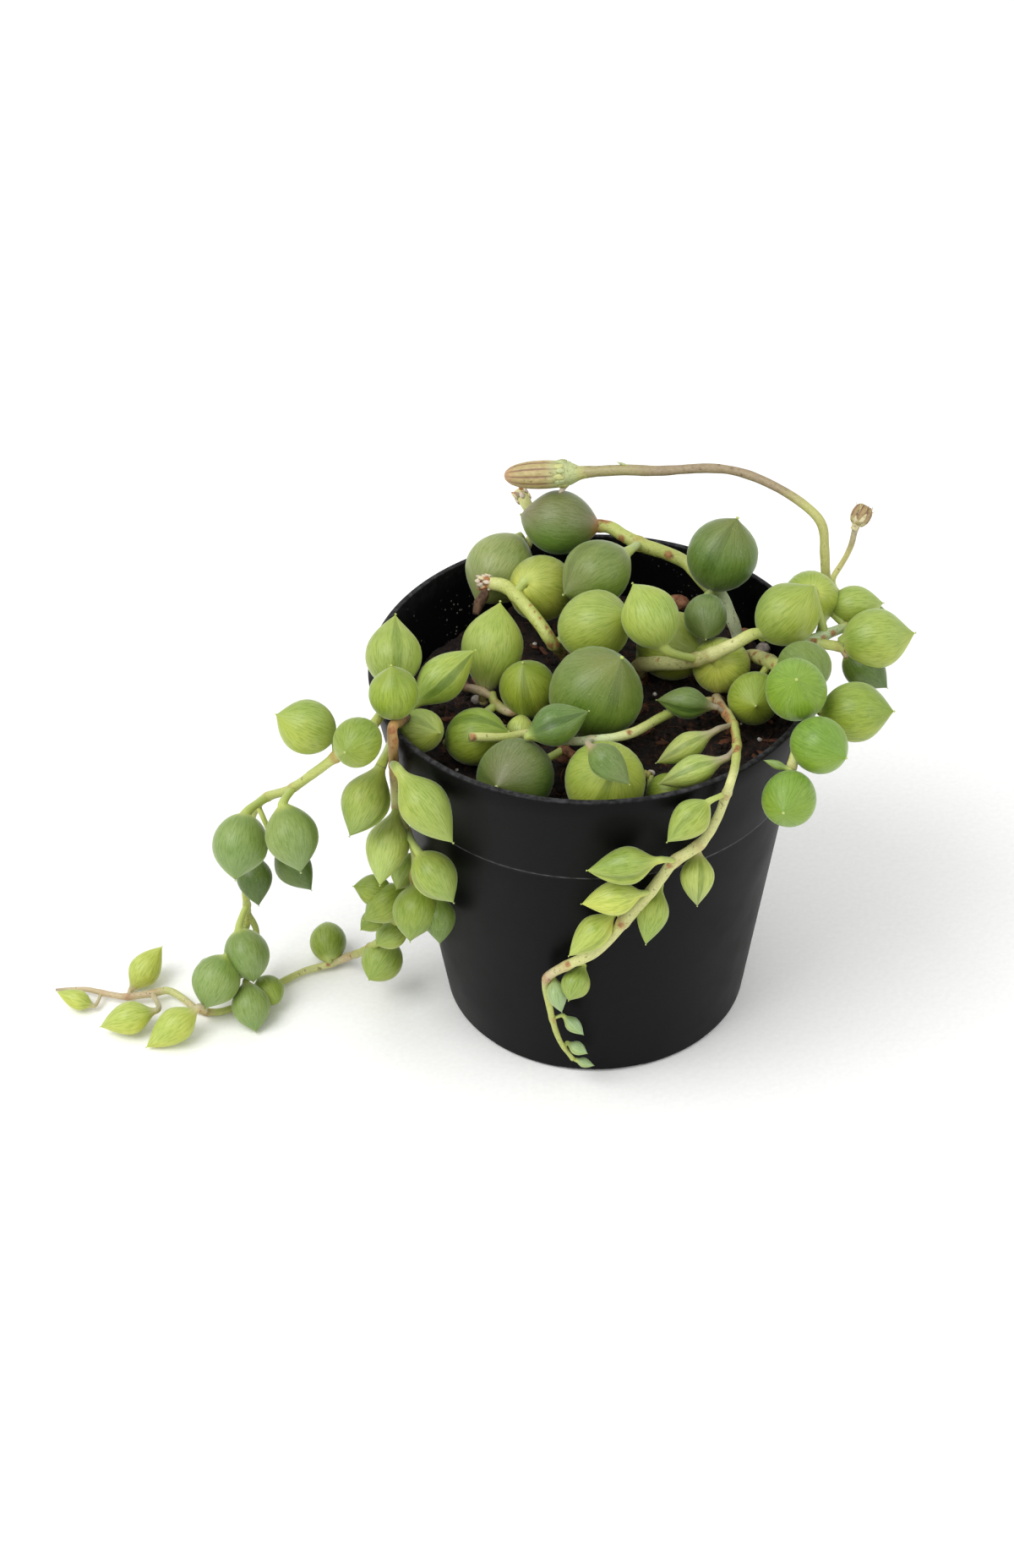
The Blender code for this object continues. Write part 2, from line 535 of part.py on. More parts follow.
def turned(name, profile, sides, reshape=None):
    """Solid turned round Z from (radius, height) points in mm; both ends lie on the axis."""
    shape = bmesh.new()
    rings = []
    for radius, height in profile:
        if radius == 0.0:
            rings.append([shape.verts.new((0.0, 0.0, height * MM))])
            continue
        ring = []
        for k in range(sides):
            angle = 2 * math.pi * k / sides
            x, y, z = radius * math.cos(angle), radius * math.sin(angle), height
            if reshape:
                x, y, z = reshape(x, y, z, angle)
            ring.append(shape.verts.new((x * MM, y * MM, z * MM)))
        rings.append(ring)
    for low, high in zip(rings, rings[1:]):
        for k in range(sides):
            after = (k + 1) % sides
            corners = [low[k % len(low)], low[after % len(low)]]
            corners += [high[after % len(high)], high[k % len(high)]]
            shape.faces.new(list(dict.fromkeys(corners)))
    bmesh.ops.recalc_face_normals(shape, faces=shape.faces)
    mesh = bpy.data.meshes.new(name)
    shape.to_mesh(mesh)
    shape.free()
    return add_object(name, mesh)


def end_powers(length, stops):
    """The two powers of an end's profile for its length in radii, read between the stops."""
    lengths, first, second = zip(*stops)
    return float(np.interp(length, lengths, first)), float(np.interp(length, lengths, second))


def drop(name, centre, axis, radius, reach, foot):
    """A leaf, in mm: its radius is R (1 - q^a)^b, with q the share of the way to either end."""
    profile = []
    rings = SMALL_LEAF_RINGS if radius < SMALL_LEAF else LEAF_RINGS
    for k in range(rings + 1):
        along = math.sin(math.pi * (k / rings - 0.5))
        length, stops = (foot, FOOT_POWERS) if along < 0 else (reach, TIP_POWERS)
        first, second = end_powers(length / radius, stops)
        width = radius * max(0.0, 1.0 - abs(along) ** first) ** second
        profile.append((0.0 if k in (0, rings) else width, length * along))
    body = turned(name, profile, LEAF_SIDES)
    turn = Vector((0, 0, 1)).rotation_difference(Vector(axis)).to_matrix().to_4x4()
    body.data.transform(Matrix.Translation(Vector(centre) * MM) @ turn)
    return body


def join(name, pieces, material):
    """One solid from pieces that overlap; hollows sealed inside are filled."""
    body = pieces[0]
    body.name = name
    group = bpy.data.collections.new(name + "_pieces")
    bpy.context.scene.collection.children.link(group)
    for piece in pieces[1:]:
        bpy.context.scene.collection.objects.unlink(piece)
        group.objects.link(piece)
    union = body.modifiers.new("Join", "BOOLEAN")
    union.operation = "UNION"
    union.operand_type = "COLLECTION"
    union.collection = group
    union.solver = "EXACT"
    seen = body.evaluated_get(bpy.context.evaluated_depsgraph_get())
    mesh = bpy.data.meshes.new_from_object(seen)
    body.modifiers.clear()
    body.data = mesh
    for piece in list(group.objects):
        bpy.data.objects.remove(piece)
    bpy.data.collections.remove(group)
    keep_outer_skin(mesh)
    mesh.materials.clear()
    mesh.materials.append(make_material(material))
    mesh.shade_smooth()
    mesh.set_sharp_from_angle(angle=STRAND_CREASE)
    return body


def keep_outer_skin(mesh):
    """Keeps the largest closed skin of a mesh; inner hollows and loose scraps go."""
    shape = bmesh.new()
    shape.from_mesh(mesh)
    bmesh.ops.triangulate(shape, faces=shape.faces)
    unseen = set(shape.faces)
    skins = []
    while unseen:
        start = unseen.pop()
        skin, edge_of = [start], [start]
        while edge_of:
            face = edge_of.pop()
            for edge in face.edges:
                for other in edge.link_faces:
                    if other in unseen:
                        unseen.remove(other)
                        skin.append(other)
                        edge_of.append(other)
        skins.append(skin)
    skins.sort(key=lambda skin: -sum(face.calc_area() for face in skin))
    loose = [face for skin in skins[1:] for face in skin]
    bmesh.ops.delete(shape, geom=loose, context="FACES")
    shape.to_mesh(mesh)
    shape.free()


def cut(body, cutter):
    """Cuts a shape out of a body and leaves the cutter as a wire guide."""
    cutter.hide_render = True
    cutter.display_type = "WIRE"
    modifier = body.modifiers.new(cutter.name, "BOOLEAN")
    modifier.operation = "DIFFERENCE"
    modifier.object = cutter
    modifier.solver = "EXACT"


def make_pot():
    """Thin tapered pot with a plain band under the rim, foot notches and drain holes."""
    body_top = BAND_RADIUS - BAND_STEP
    inner_foot = BASE_RADIUS - WALL + INNER_FILLET
    profile = [
        (0.0, 0.0), (BASE_RADIUS - BASE_BEVEL, 0.0), (BASE_RADIUS, BASE_BEVEL),
        (body_top, BAND_FOOT - BAND_STEP), (BAND_RADIUS, BAND_FOOT),
        (RIM_RADIUS, POT_HEIGHT - RIM_BEVEL), (RIM_RADIUS - RIM_BEVEL, POT_HEIGHT),
        (RIM_RADIUS - WALL, POT_HEIGHT), (RIM_RADIUS - WALL - RIM_LIP, POT_HEIGHT - RIM_BEVEL),
        (body_top - WALL, BAND_FOOT), (inner_foot, FLOOR), (0.0, FLOOR),
    ]
    pot = turned("pot", profile, POT_SIDES)
    pot.data.materials.append(make_material("black_plastic"))
    for k in range(FOOT_NOTCHES):
        angle = -math.pi / 2 + 2 * math.pi * k / FOOT_NOTCHES
        way = Vector((math.cos(angle), math.sin(angle), 0))
        bpy.ops.mesh.primitive_cube_add(size=1)
        notch = bpy.context.object
        notch.name = f"notch_cutter_{k}"
        length, middle = NOTCH_END - NOTCH_START, (NOTCH_START + NOTCH_END) / 2
        size = Matrix.Diagonal((length * MM, NOTCH_WIDTH * MM, 2 * NOTCH_DEPTH * MM, 1))
        turn = Matrix.Rotation(angle, 4, "Z")
        notch.data.transform(Matrix.Translation(way * middle * MM) @ turn @ size)
        cut(pot, notch)
        bpy.ops.mesh.primitive_cylinder_add(
            vertices=DRAIN_SIDES, radius=DRAIN_RADIUS * MM, depth=4 * FLOOR * MM)
        drain = bpy.context.object
        drain.name = f"drain_cutter_{k}"
        off_edge = Matrix.Rotation(angle + DRAIN_TURN, 4, "Z")
        drain.data.transform(Matrix.Translation(way * DRAIN_CIRCLE * MM) @ off_edge)
        cut(pot, drain)
    pot.data.shade_smooth()
    pot.data.set_sharp_from_angle(angle=POT_CREASE)


def make_soil(roots):
    """Soil that fills the pot, with a plain hole for each stem."""
    reach = RIM_RADIUS - WALL
    edge_height = SOIL_HEIGHT - SOIL_EDGE_DROP
    top_edge = wall_radius(edge_height) - WALL - BAND_STEP - SOIL_TOP_GAP
    waist = BAND_RADIUS - BAND_STEP - WALL - SOIL_WAIST_GAP
    foot = BASE_RADIUS - WALL - SOIL_FOOT_GAP
    profile = [(0.0, FLOOR + GAP), (foot, FLOOR + GAP), (waist, BAND_FOOT - 1.0)]
    profile += [(top_edge, edge_height)]
    profile += [(top_edge * k / SOIL_RINGS, SOIL_HEIGHT) for k in range(SOIL_RINGS - 1, 0, -1)]
    profile += [(0.0, soil_height(0, 0))]

    def uneven(x, y, z, angle):
        on_top = z >= edge_height - 0.01 and math.hypot(x, y) < reach
        return (x, y, soil_height(x, y)) if on_top else (x, y, z)

    soil = turned("soil", profile, SOIL_SIDES, uneven)
    soil.data.materials.append(make_material("peat_soil"))
    for k, (place, radius) in enumerate(roots):
        ends = [place - np.array([0.0, 0.0, ROOT_DEPTH + GAP]),
                place + np.array([0.0, 0.0, HOLE_RISE])]
        hole = tube(f"hole_cutter_{k}", ends, [radius + HOLE_SLACK] * 2, sides=8)
        cut(soil, hole)
    for k, (name, x, y, radii, material) in enumerate(STONES):
        centre = rest_on(x, y, SOIL, radii[2] * STONE_SEAT)
        seat = stone(f"seat_cutter_{k}", centre, np.array(radii) + GAP)
        cut(soil, seat)
        make_stone(name, centre, radii, material)
    soil.data.shade_smooth()
    soil.data.set_sharp_from_angle(angle=SOIL_CREASE)


def stone(name, centre, radii):
    """A rough lump: a ball with its points pushed in and out by a fixed rule."""
    shape = bmesh.new()
    bmesh.ops.create_icosphere(shape, subdivisions=2, radius=1.0)
    for vert in shape.verts:
        x, y, z = vert.co
        rough = 1.0 + STONE_ROUGHNESS * math.sin(5 * x + 3 * y) * math.cos(4 * z + 2 * x)
        vert.co = Vector((x * radii[0], y * radii[1], z * radii[2])) * rough * MM
    mesh = bpy.data.meshes.new(name)
    shape.to_mesh(mesh)
    shape.free()
    mesh.transform(Matrix.Translation(Vector(centre) * MM))
    return add_object(name, mesh)


def make_stone(name, centre, radii, material):
    body = stone(name, centre, radii)
    body.data.materials.append(make_material(material))
    body.data.shade_smooth()


def petiole(name, frame, stems):
    """Short stalk from a leaf's foot to the nearest point of its stem."""
    centre, axis, radius, _, foot = frame
    base = centre - axis * foot * PETIOLE_EDGE
    route = [place for points, _ in stems for place in points
             if place[2] > SOIL_HEIGHT + PETIOLE_ABOVE_SOIL
             or math.hypot(place[0], place[1]) > wall_radius(place[2])]
    target = min(route, key=lambda place: np.linalg.norm(place - base))
    length = np.linalg.norm(target - base)
    middle = 0.5 * (base + target) - axis * min(PETIOLE_SAG * length, radius)
    width = max(PETIOLE_LEAST, min(PETIOLE_MOST, radius * PETIOLE_RADIUS))
    points, radii = smooth_route([centre - axis * foot * PETIOLE_INSIDE, middle, target],
                                 [width * PETIOLE_FLARE, width, width], PETIOLE_STEP)
    return tube(name, points, radii, sides=4)


def make_strand(name, plan):
    """A leafy stem: its stems, its leaves and their short stalks in one solid."""
    stems = [smooth_route([rest_on(*row[:4]) for row in stem], [row[4] for row in stem])
             for stem in plan["stems"]]
    root = stems[0][0][0] - np.array([0.0, 0.0, ROOT_DEPTH])
    stems[0] = np.vstack([root, stems[0][0]]), np.append(stems[0][1][0], stems[0][1])
    pieces = [tube(f"{name}_stem_{k}", *stem) for k, stem in enumerate(stems)]
    for k, spec in enumerate(plan["leaves"]):
        frame = leaf_frame(spec)
        pieces.append(drop(f"{name}_leaf_{k}", *frame))
        pieces.append(petiole(f"{name}_petiole_{k}", frame, stems))
    join(name, pieces, plan["material"])


def root_of(plan):
    """Where a strand's first stem enters the soil, and its radius."""
    first = plan["stems"][0][0]
    return rest_on(*first[:4]), first[4]


def make_bud(name, ends, material, start=0.0):
    """A closed flower bud with long folded ribs, narrowed at the tip."""
    foot, tip, radius = ends
    foot, tip = from_photo(*foot), from_photo(*tip)
    axis = (tip - foot) / np.linalg.norm(tip - foot)
    length = np.linalg.norm(tip - foot)
    profile = [(0.0, start)]
    for share, width in BUD_PROFILE:
        profile.append((radius * width, start + (length - start) * share))

    def ribbed(x, y, z, angle):
        fold = 1.0 + BUD_FOLD * math.cos(BUD_RIBS * angle)
        return x * fold, y * fold, z

    body = turned(name, profile, 2 * BUD_RIBS, ribbed)
    turn = Vector((0, 0, 1)).rotation_difference(Vector(axis)).to_matrix().to_4x4()
    body.data.transform(Matrix.Translation(Vector(foot) * MM) @ turn)
    body.data.materials.append(make_material(material))
    body.data.shade_smooth()
    return body


def make_flowers():
    """The long stalk with its green cup, the ribbed bud, and a small bud on a thin stalk."""
    stalk = smooth_route([rest_on(*row[:4]) for row in FLOWER_STALK], [row[4] for row in FLOWER_STALK])
    foot, tip, radius = FLOWER_BUD
    foot, tip = from_photo(*foot), from_photo(*tip)
    axis = (tip - foot) / np.linalg.norm(tip - foot)
    cup_top = CALYX_LENGTH - GAP
    cup_profile = [(0.0, -1.2), (0.9, -1.0), (radius * 0.72, 0.2), (radius * 0.97, 1.4),
                   (radius * 0.97, cup_top), (0.0, cup_top)]
    cup = turned("cup", cup_profile, 2 * BUD_RIBS)
    turn = Vector((0, 0, 1)).rotation_difference(Vector(axis)).to_matrix().to_4x4()
    cup.data.transform(Matrix.Translation(Vector(foot) * MM) @ turn)
    join("flower_stalk", [tube("stalk", *stalk), cup], "stalk_brown")
    make_bud("flower_bud", FLOWER_BUD, "bud_brown", start=CALYX_LENGTH)
    thin = smooth_route([rest_on(*row[:4]) for row in BUD_STALK], [row[4] for row in BUD_STALK])
    join("bud_stalk", [tube("thin", *thin)], "pale_green")
    make_bud("small_bud", SMALL_BUD, "bud_brown")


def main():
    for thing in list(bpy.data.objects):
        bpy.data.objects.remove(thing)
    make_pot()
    make_soil([root_of(plan) for plan in STRANDS.values()])
    for name, plan in STRANDS.items():
        make_strand(name, plan)
    make_flowers()


main()
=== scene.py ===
"""Looks of a potted string of raindrops: leafy stems, flower buds, soil and pot.

Stems and leaves stand where the solids stand. Each point is a pixel of the 1200 by 1855 picture
with a height in millimetres, or with what it rests on, and from_photo() turns it into a place.
"""

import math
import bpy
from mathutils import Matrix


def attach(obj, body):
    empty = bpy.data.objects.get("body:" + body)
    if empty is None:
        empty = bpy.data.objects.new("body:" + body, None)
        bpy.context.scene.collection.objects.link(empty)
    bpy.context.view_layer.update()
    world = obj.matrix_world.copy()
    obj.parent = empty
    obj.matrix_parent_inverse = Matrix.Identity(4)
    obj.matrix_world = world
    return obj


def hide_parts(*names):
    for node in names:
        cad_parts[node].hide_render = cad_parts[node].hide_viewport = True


bl_info = {
    "name": "Potted String of Raindrops",
    "version": (1, 0, 0),
    "blender": (4, 5, 0),
    "location": "3D View > Sidebar > Raindrops",
    "description": "Builds the plant's stems, leaves, buds, soil and pot, and the studio round them",
    "category": "Object",
}

from collections import namedtuple

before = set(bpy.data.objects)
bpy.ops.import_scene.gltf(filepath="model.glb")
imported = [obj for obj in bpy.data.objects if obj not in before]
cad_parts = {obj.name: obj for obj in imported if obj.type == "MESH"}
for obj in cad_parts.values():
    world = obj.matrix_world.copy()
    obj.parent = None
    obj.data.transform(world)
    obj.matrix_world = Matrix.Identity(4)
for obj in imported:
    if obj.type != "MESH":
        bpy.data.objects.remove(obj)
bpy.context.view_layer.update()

import bpy
import numpy as np
from bpy.props import FloatProperty, FloatVectorProperty, IntProperty, PointerProperty
from mathutils import Matrix

MM = 0.001

# Pot, in millimetres
POT_HEIGHT = 83.2
RIM_RADIUS = 45.0
BASE_RADIUS = 32.0
BAND_HEIGHT = 22.2
BAND_FOOT = POT_HEIGHT - BAND_HEIGHT
BAND_RADIUS = 41.1
BAND_STEP = 0.5
WALL = 1.3
FLOOR = 1.6
NOTCHES = 6
NOTCH_WIDTH = 17.0
NOTCH_DEPTH = 0.7
NOTCH_START = 21.2
DRAIN_RADIUS = 3.0
DRAIN_CIRCLE = 22.0
RIM_ROLL = 0.55
FOOT_ROUND = 1.2
INNER_ROUND = 0.3
CENTRE_RADIUS = 4.0
WALL_HEIGHTS = (0, BAND_FOOT, POT_HEIGHT)

# Points of each rounded edge, how far the painted highlight spreads from the band's foot and from
# the rim in millimetres, and the angle in degrees from which an edge is sharp
ARC_POINTS = 6
BAND_HIGHLIGHT = 0.12
RIM_HIGHLIGHT = 0.25
SHARP_ANGLE = 35

# Soil, in millimetres
SOIL_HEIGHT = 70.5
SOIL_EDGE_DROP = 0.8
SOIL_SLOPE = (0.045, 0.02)
SOIL_BUMP = 0.45
SOIL_MARGIN = 1.5
GAP = 0.3
DIP = 1.3
DIP_MARGIN = 0.5

# Its waves: radians to the millimetre and at the start, for those along x and along y that cross;
# then the share of one on a slant, and its radians to the millimetre along x and along y
CROSSED_WAVES = ((0.55, 0.9), (0.47, -0.4))
SLANTED_WAVE = (0.6, 0.91, 0.77)

# Its crumbs: cell and height of each noise, and a shift that keeps its grid positive
SOIL_NOISE = ((3.1, 0.9), (1.5, 0.8), (0.75, 0.5))
GRID_SHIFT = 70

# A pixel's line of sight, in millimetres: the height where its search starts, the search's step,
# and the lift at which a resting leaf's size is first read
SEARCH_START = 95.0
SEARCH_STEP = 0.05
ROUGH_LIFT = 5.0

# Stems and stalks, in millimetres: length of a ring, a swelling and a knot, and depth of a root's rings
STEP = 0.4
SWELL_LENGTH = 1.0
KNOT_LENGTH = 2.4
ROOT_DROPS = (9.0, 4.0, 1.6, 0.7)

# Knots and lines are read on a tube of this radius, from a start up to this far along it; a knot's
# row in its noise, and how much a stem's lines are stretched
LINE_SPREAD = 2
KNOT_START = 50
LINE_START = 40
KNOT_ROW = 9
STEM_LINE_STRETCH = 0.3

# Shares of a stem's radius: everywhere, for its knots and for its swellings
EVEN_WIDTH = 0.93
KNOT_WIDTH = 0.16
SWELL_WIDTH = 0.22

# Scars: how plain at a joint, how ragged and soft their edges, and their share of tint and of cork;
# then how woody each tone is
JOINT_SCAR = 0.6
SCAR_RAGGED = 0.25
SCAR_SOFT = 0.4
SCAR_TINT = 0.85
SCAR_CORK = 0.6
WOODY = {"bark": 1.0, "dark_bark": 1.0, "scar": 0.7, "shred": 0.6, "stalk": 0.25}

# Values along a side of a noise's grid, the shortest length that has a direction, when a side lies
# along its path and what turns it then, and the least slant of a stem to the line of sight, as a sine
LATTICE = 64
SHORTEST = 1e-12
NEARLY_ALONG = 0.01
ASKEW = (0.3, 0.5, 0.8)
LEAST_SLANT = 0.3

# A leaf's stalk: radius as a share of the leaf's, the same with a joint given, and its least and
# most in millimetres; where it meets the foot, how it bends by its length and by the leaf's radius,
# how it widens to the foot and fades in the leaf; and the leaf's first ring, in half turns
STALK = 0.15
JOINED_STALK = 0.19
STALK_LEAST = 0.36
STALK_MOST = 0.85
STALK_MEETS = 0.97
STALK_BEND = 0.6
BEND_RADII = 1.6
STALK_FLARE = 0.3
STALK_FADE = 0.6
FIRST_RING = -0.48

# Its tip: rings past its end as shares of its reach, widths of the point's rings, and the point's
# radius and hook as shares of the leaf's radius
NIB_REACHES = (1.012, 1.03)
NIB_WIDTHS = (1.0, 0.8, 0.25)
NIB_RADIUS = 0.05
HOOK = 0.09

# Its surface: the most that chance turns it, in radians, how far its points crowd to the stripe,
# widths of the fold along the stripe and share of the wide one, how far it is from round, and how
# much its lines are stretched
TURN_SPREAD = 6
STRIPE_CROWDING = 0.6
FOLD_WIDTH = 1.3
WIDE_FOLD = 0.35
WIDE_FOLD_WIDTH = 0.7
OVAL = 0.02
THREE_SIDED = 0.012
LEAF_LINE_STRETCH = 0.15

# Its tint: how much leaves differ, where blush and paleness lie, and what each does to the tint.
# The lower and upper tints are partly the leaf's own, with thicker wax above, and partly painted
# light, bluer above as a painted reflection of the light overhead. The last darkens the lower side
# of a blushed leaf as painted shade.
DARKEST_LEAF = 0.94
LEAF_SPREAD = 0.12
TIP_BLUSH = 0.9
FOOT_BLUSH = 0.7
TIP_PALENESS = 0.7
TOP_BLUSH = 0.6
LOWER_TINT = np.array([1.08, 1.04, 0.8, 1])
UPPER_TINT = np.array([0.94, 0.98, 1.12, 1])
PAINTED_SHADE_BELOW = np.array([0.5, 0.12, 0.5, 0])

# The rib height at which a bud has its outline's radius
LEVEL_RIDGE = 0.6

# Profile powers of a leaf's foot and tip: length in radii, first power, second power
FOOT_POWERS = ((1.1, 2.0, 0.55), (1.4, 2.1, 1.1), (1.75, 2.3, 1.9), (2.4, 2.0, 2.2))
TIP_POWERS = ((1.05, 2.0, 0.5), (1.15, 2.1, 0.7), (1.33, 2.5, 1.35), (1.6, 2.0, 1.2), (2.0, 1.8, 1.1))

# The view that the pixels belong to
PICTURE = (1200, 1855)
PICTURE_CENTRE = np.array([600.0, 927.5])
FOCAL_LENGTH = 3500.0
VIEW_DISTANCE = 617.1
VIEW_ELEVATION = math.radians(38.97)
VIEW_ROLL = math.radians(1.683)
VIEW_SHIFT = np.array([103.2, -50.7])
VIEW_TARGET = np.array([0.0, 0.0, 40.0])
SENSOR = 36.0

# What the lights are turned to, in metres
PLANT_MIDDLE = (0.0, 0.0, 0.06)

# Sizes of the materials' patterns, in millimetres
LEAF_CELL = 1 / 3
LEAF_BLOTCH = 25 / 3
RIND_FLECK = 10 / 9
PEAT_CRUMB = 10 / 7
PEAT_FIBRE = 10 / 9
PLASTIC_GRAIN = 0.4
PLASTIC_CLOUD = 50 / 3
# The painted highlight on the pot's edges is broken into patches of this size
PLASTIC_HIGHLIGHT_BREAK = 10 / 7
DUST_SPECK = 10 / 9
DUST_DRIFT = 100 / 11
PAPER_TOOTH = 10 / 9

# Lines to a unit of the lines attribute, and pores to a patch of grit
LEAF_LINES = 3.6
RIND_LINES = 5.0
PORES = 2.2

# The colour sockets of a Mix node, and its two settings
SHARE, FIRST, SECOND, BLEND = 0, 6, 7, 2
PLAIN = {"data_type": "RGBA", "blend_type": "MIX"}
MULTIPLIED = {"data_type": "RGBA", "blend_type": "MULTIPLY"}

# Plant colours, in sRGB
TONES = {
    "lime": "#bfc762",
    "yellow": "#a5ad52",
    "pale": "#c4cc6e",
    "pale_fresh": "#b6c369",
    "fresh": "#9fae53",
    "mid": "#8fa03e",
    "bright": "#7e9d39",
    "blue": "#869a56",
    "slate": "#6b8340",
    "teal": "#a2b684",
    "olive": "#76893f",
    "dull": "#949e5c",
    "dusk": "#697d40",
    # A darker green, painted shade for leaves that sit in shadow
    "shade": "#566b2b",
    "tip": "#d3d996",
    "blush": "#8c7566",
    "mauve": "#ab9884",
    "rind": "#b9c26e",
    "pale_rind": "#cfd190",
    "blue_rind": "#c6d8b0",
    # Painted light: a rind tone far paler than the stem's own, standing in for light where leaves above
    # shade it
    "teal_rind": "#f2fcdc",
    "green_rind": "#a9b860",
    "pink_rind": "#c8b596",
    "bark": "#96694a",
    # Dark bark, and painted shadow where it darkens the stem behind the leaf at 498, 864
    "dark_bark": "#654a36",
    "scar": "#b4764a",
    "cork": "#b8935f",
    "stalk": "#a39278",
    "stalk_green": "#bbbb78",
    "stalk_olive": "#a59c72",
    "stalk_tan": "#c8bf88",
    "shred": "#decfc0",
    "cream": "#e0d6ae",
    "stalk_pale": "#b3a890",
    "calyx": "#bcc692",
    "bud_rib": "#bcab7a",
    "bud_groove": "#8e6c56",
    "dry_bud": "#ab9468",
    "bud_tip": "#bd9170",
}

Leaf = namedtuple("Leaf", "x y radius tip_x tip_y rest lift facing slim neck "
                          "tone line clear stalk blush pinch joint")
SOIL, WALL_SIDE, TABLE, AIR = "soil", "wall", "table", "air"


def leaf(x, y, radius, tip_x, tip_y, rest, lift, facing=1, slim=1.3, neck=None,
         tone="mid", line=0, clear=0.0, stalk="rind", blush=0.0, pinch=0.0, joint=None):
    """A leaf: bulk centre and tip in pixels, facing 1 with the tip nearer the viewer, -1 away.

    slim and neck are the reaches to the tip and to the foot, in radii. line is the angle in
    degrees, round the leaf from the side that the viewer sees, of the clear stripe from foot to
    tip, and clear is how plainly it shows; pinch is how deep it is folded in, in radii. joint is
    the pixel where its stalk leaves the stem, where that isn't the place nearest to its foot.
    """
    neck = neck or 1.12 + 1.3 * max(0.0, slim - 1.3)
    return Leaf(x, y, radius, tip_x, tip_y, rest, lift, facing, slim, neck,
                tone, line, clear, stalk, blush, pinch, joint)


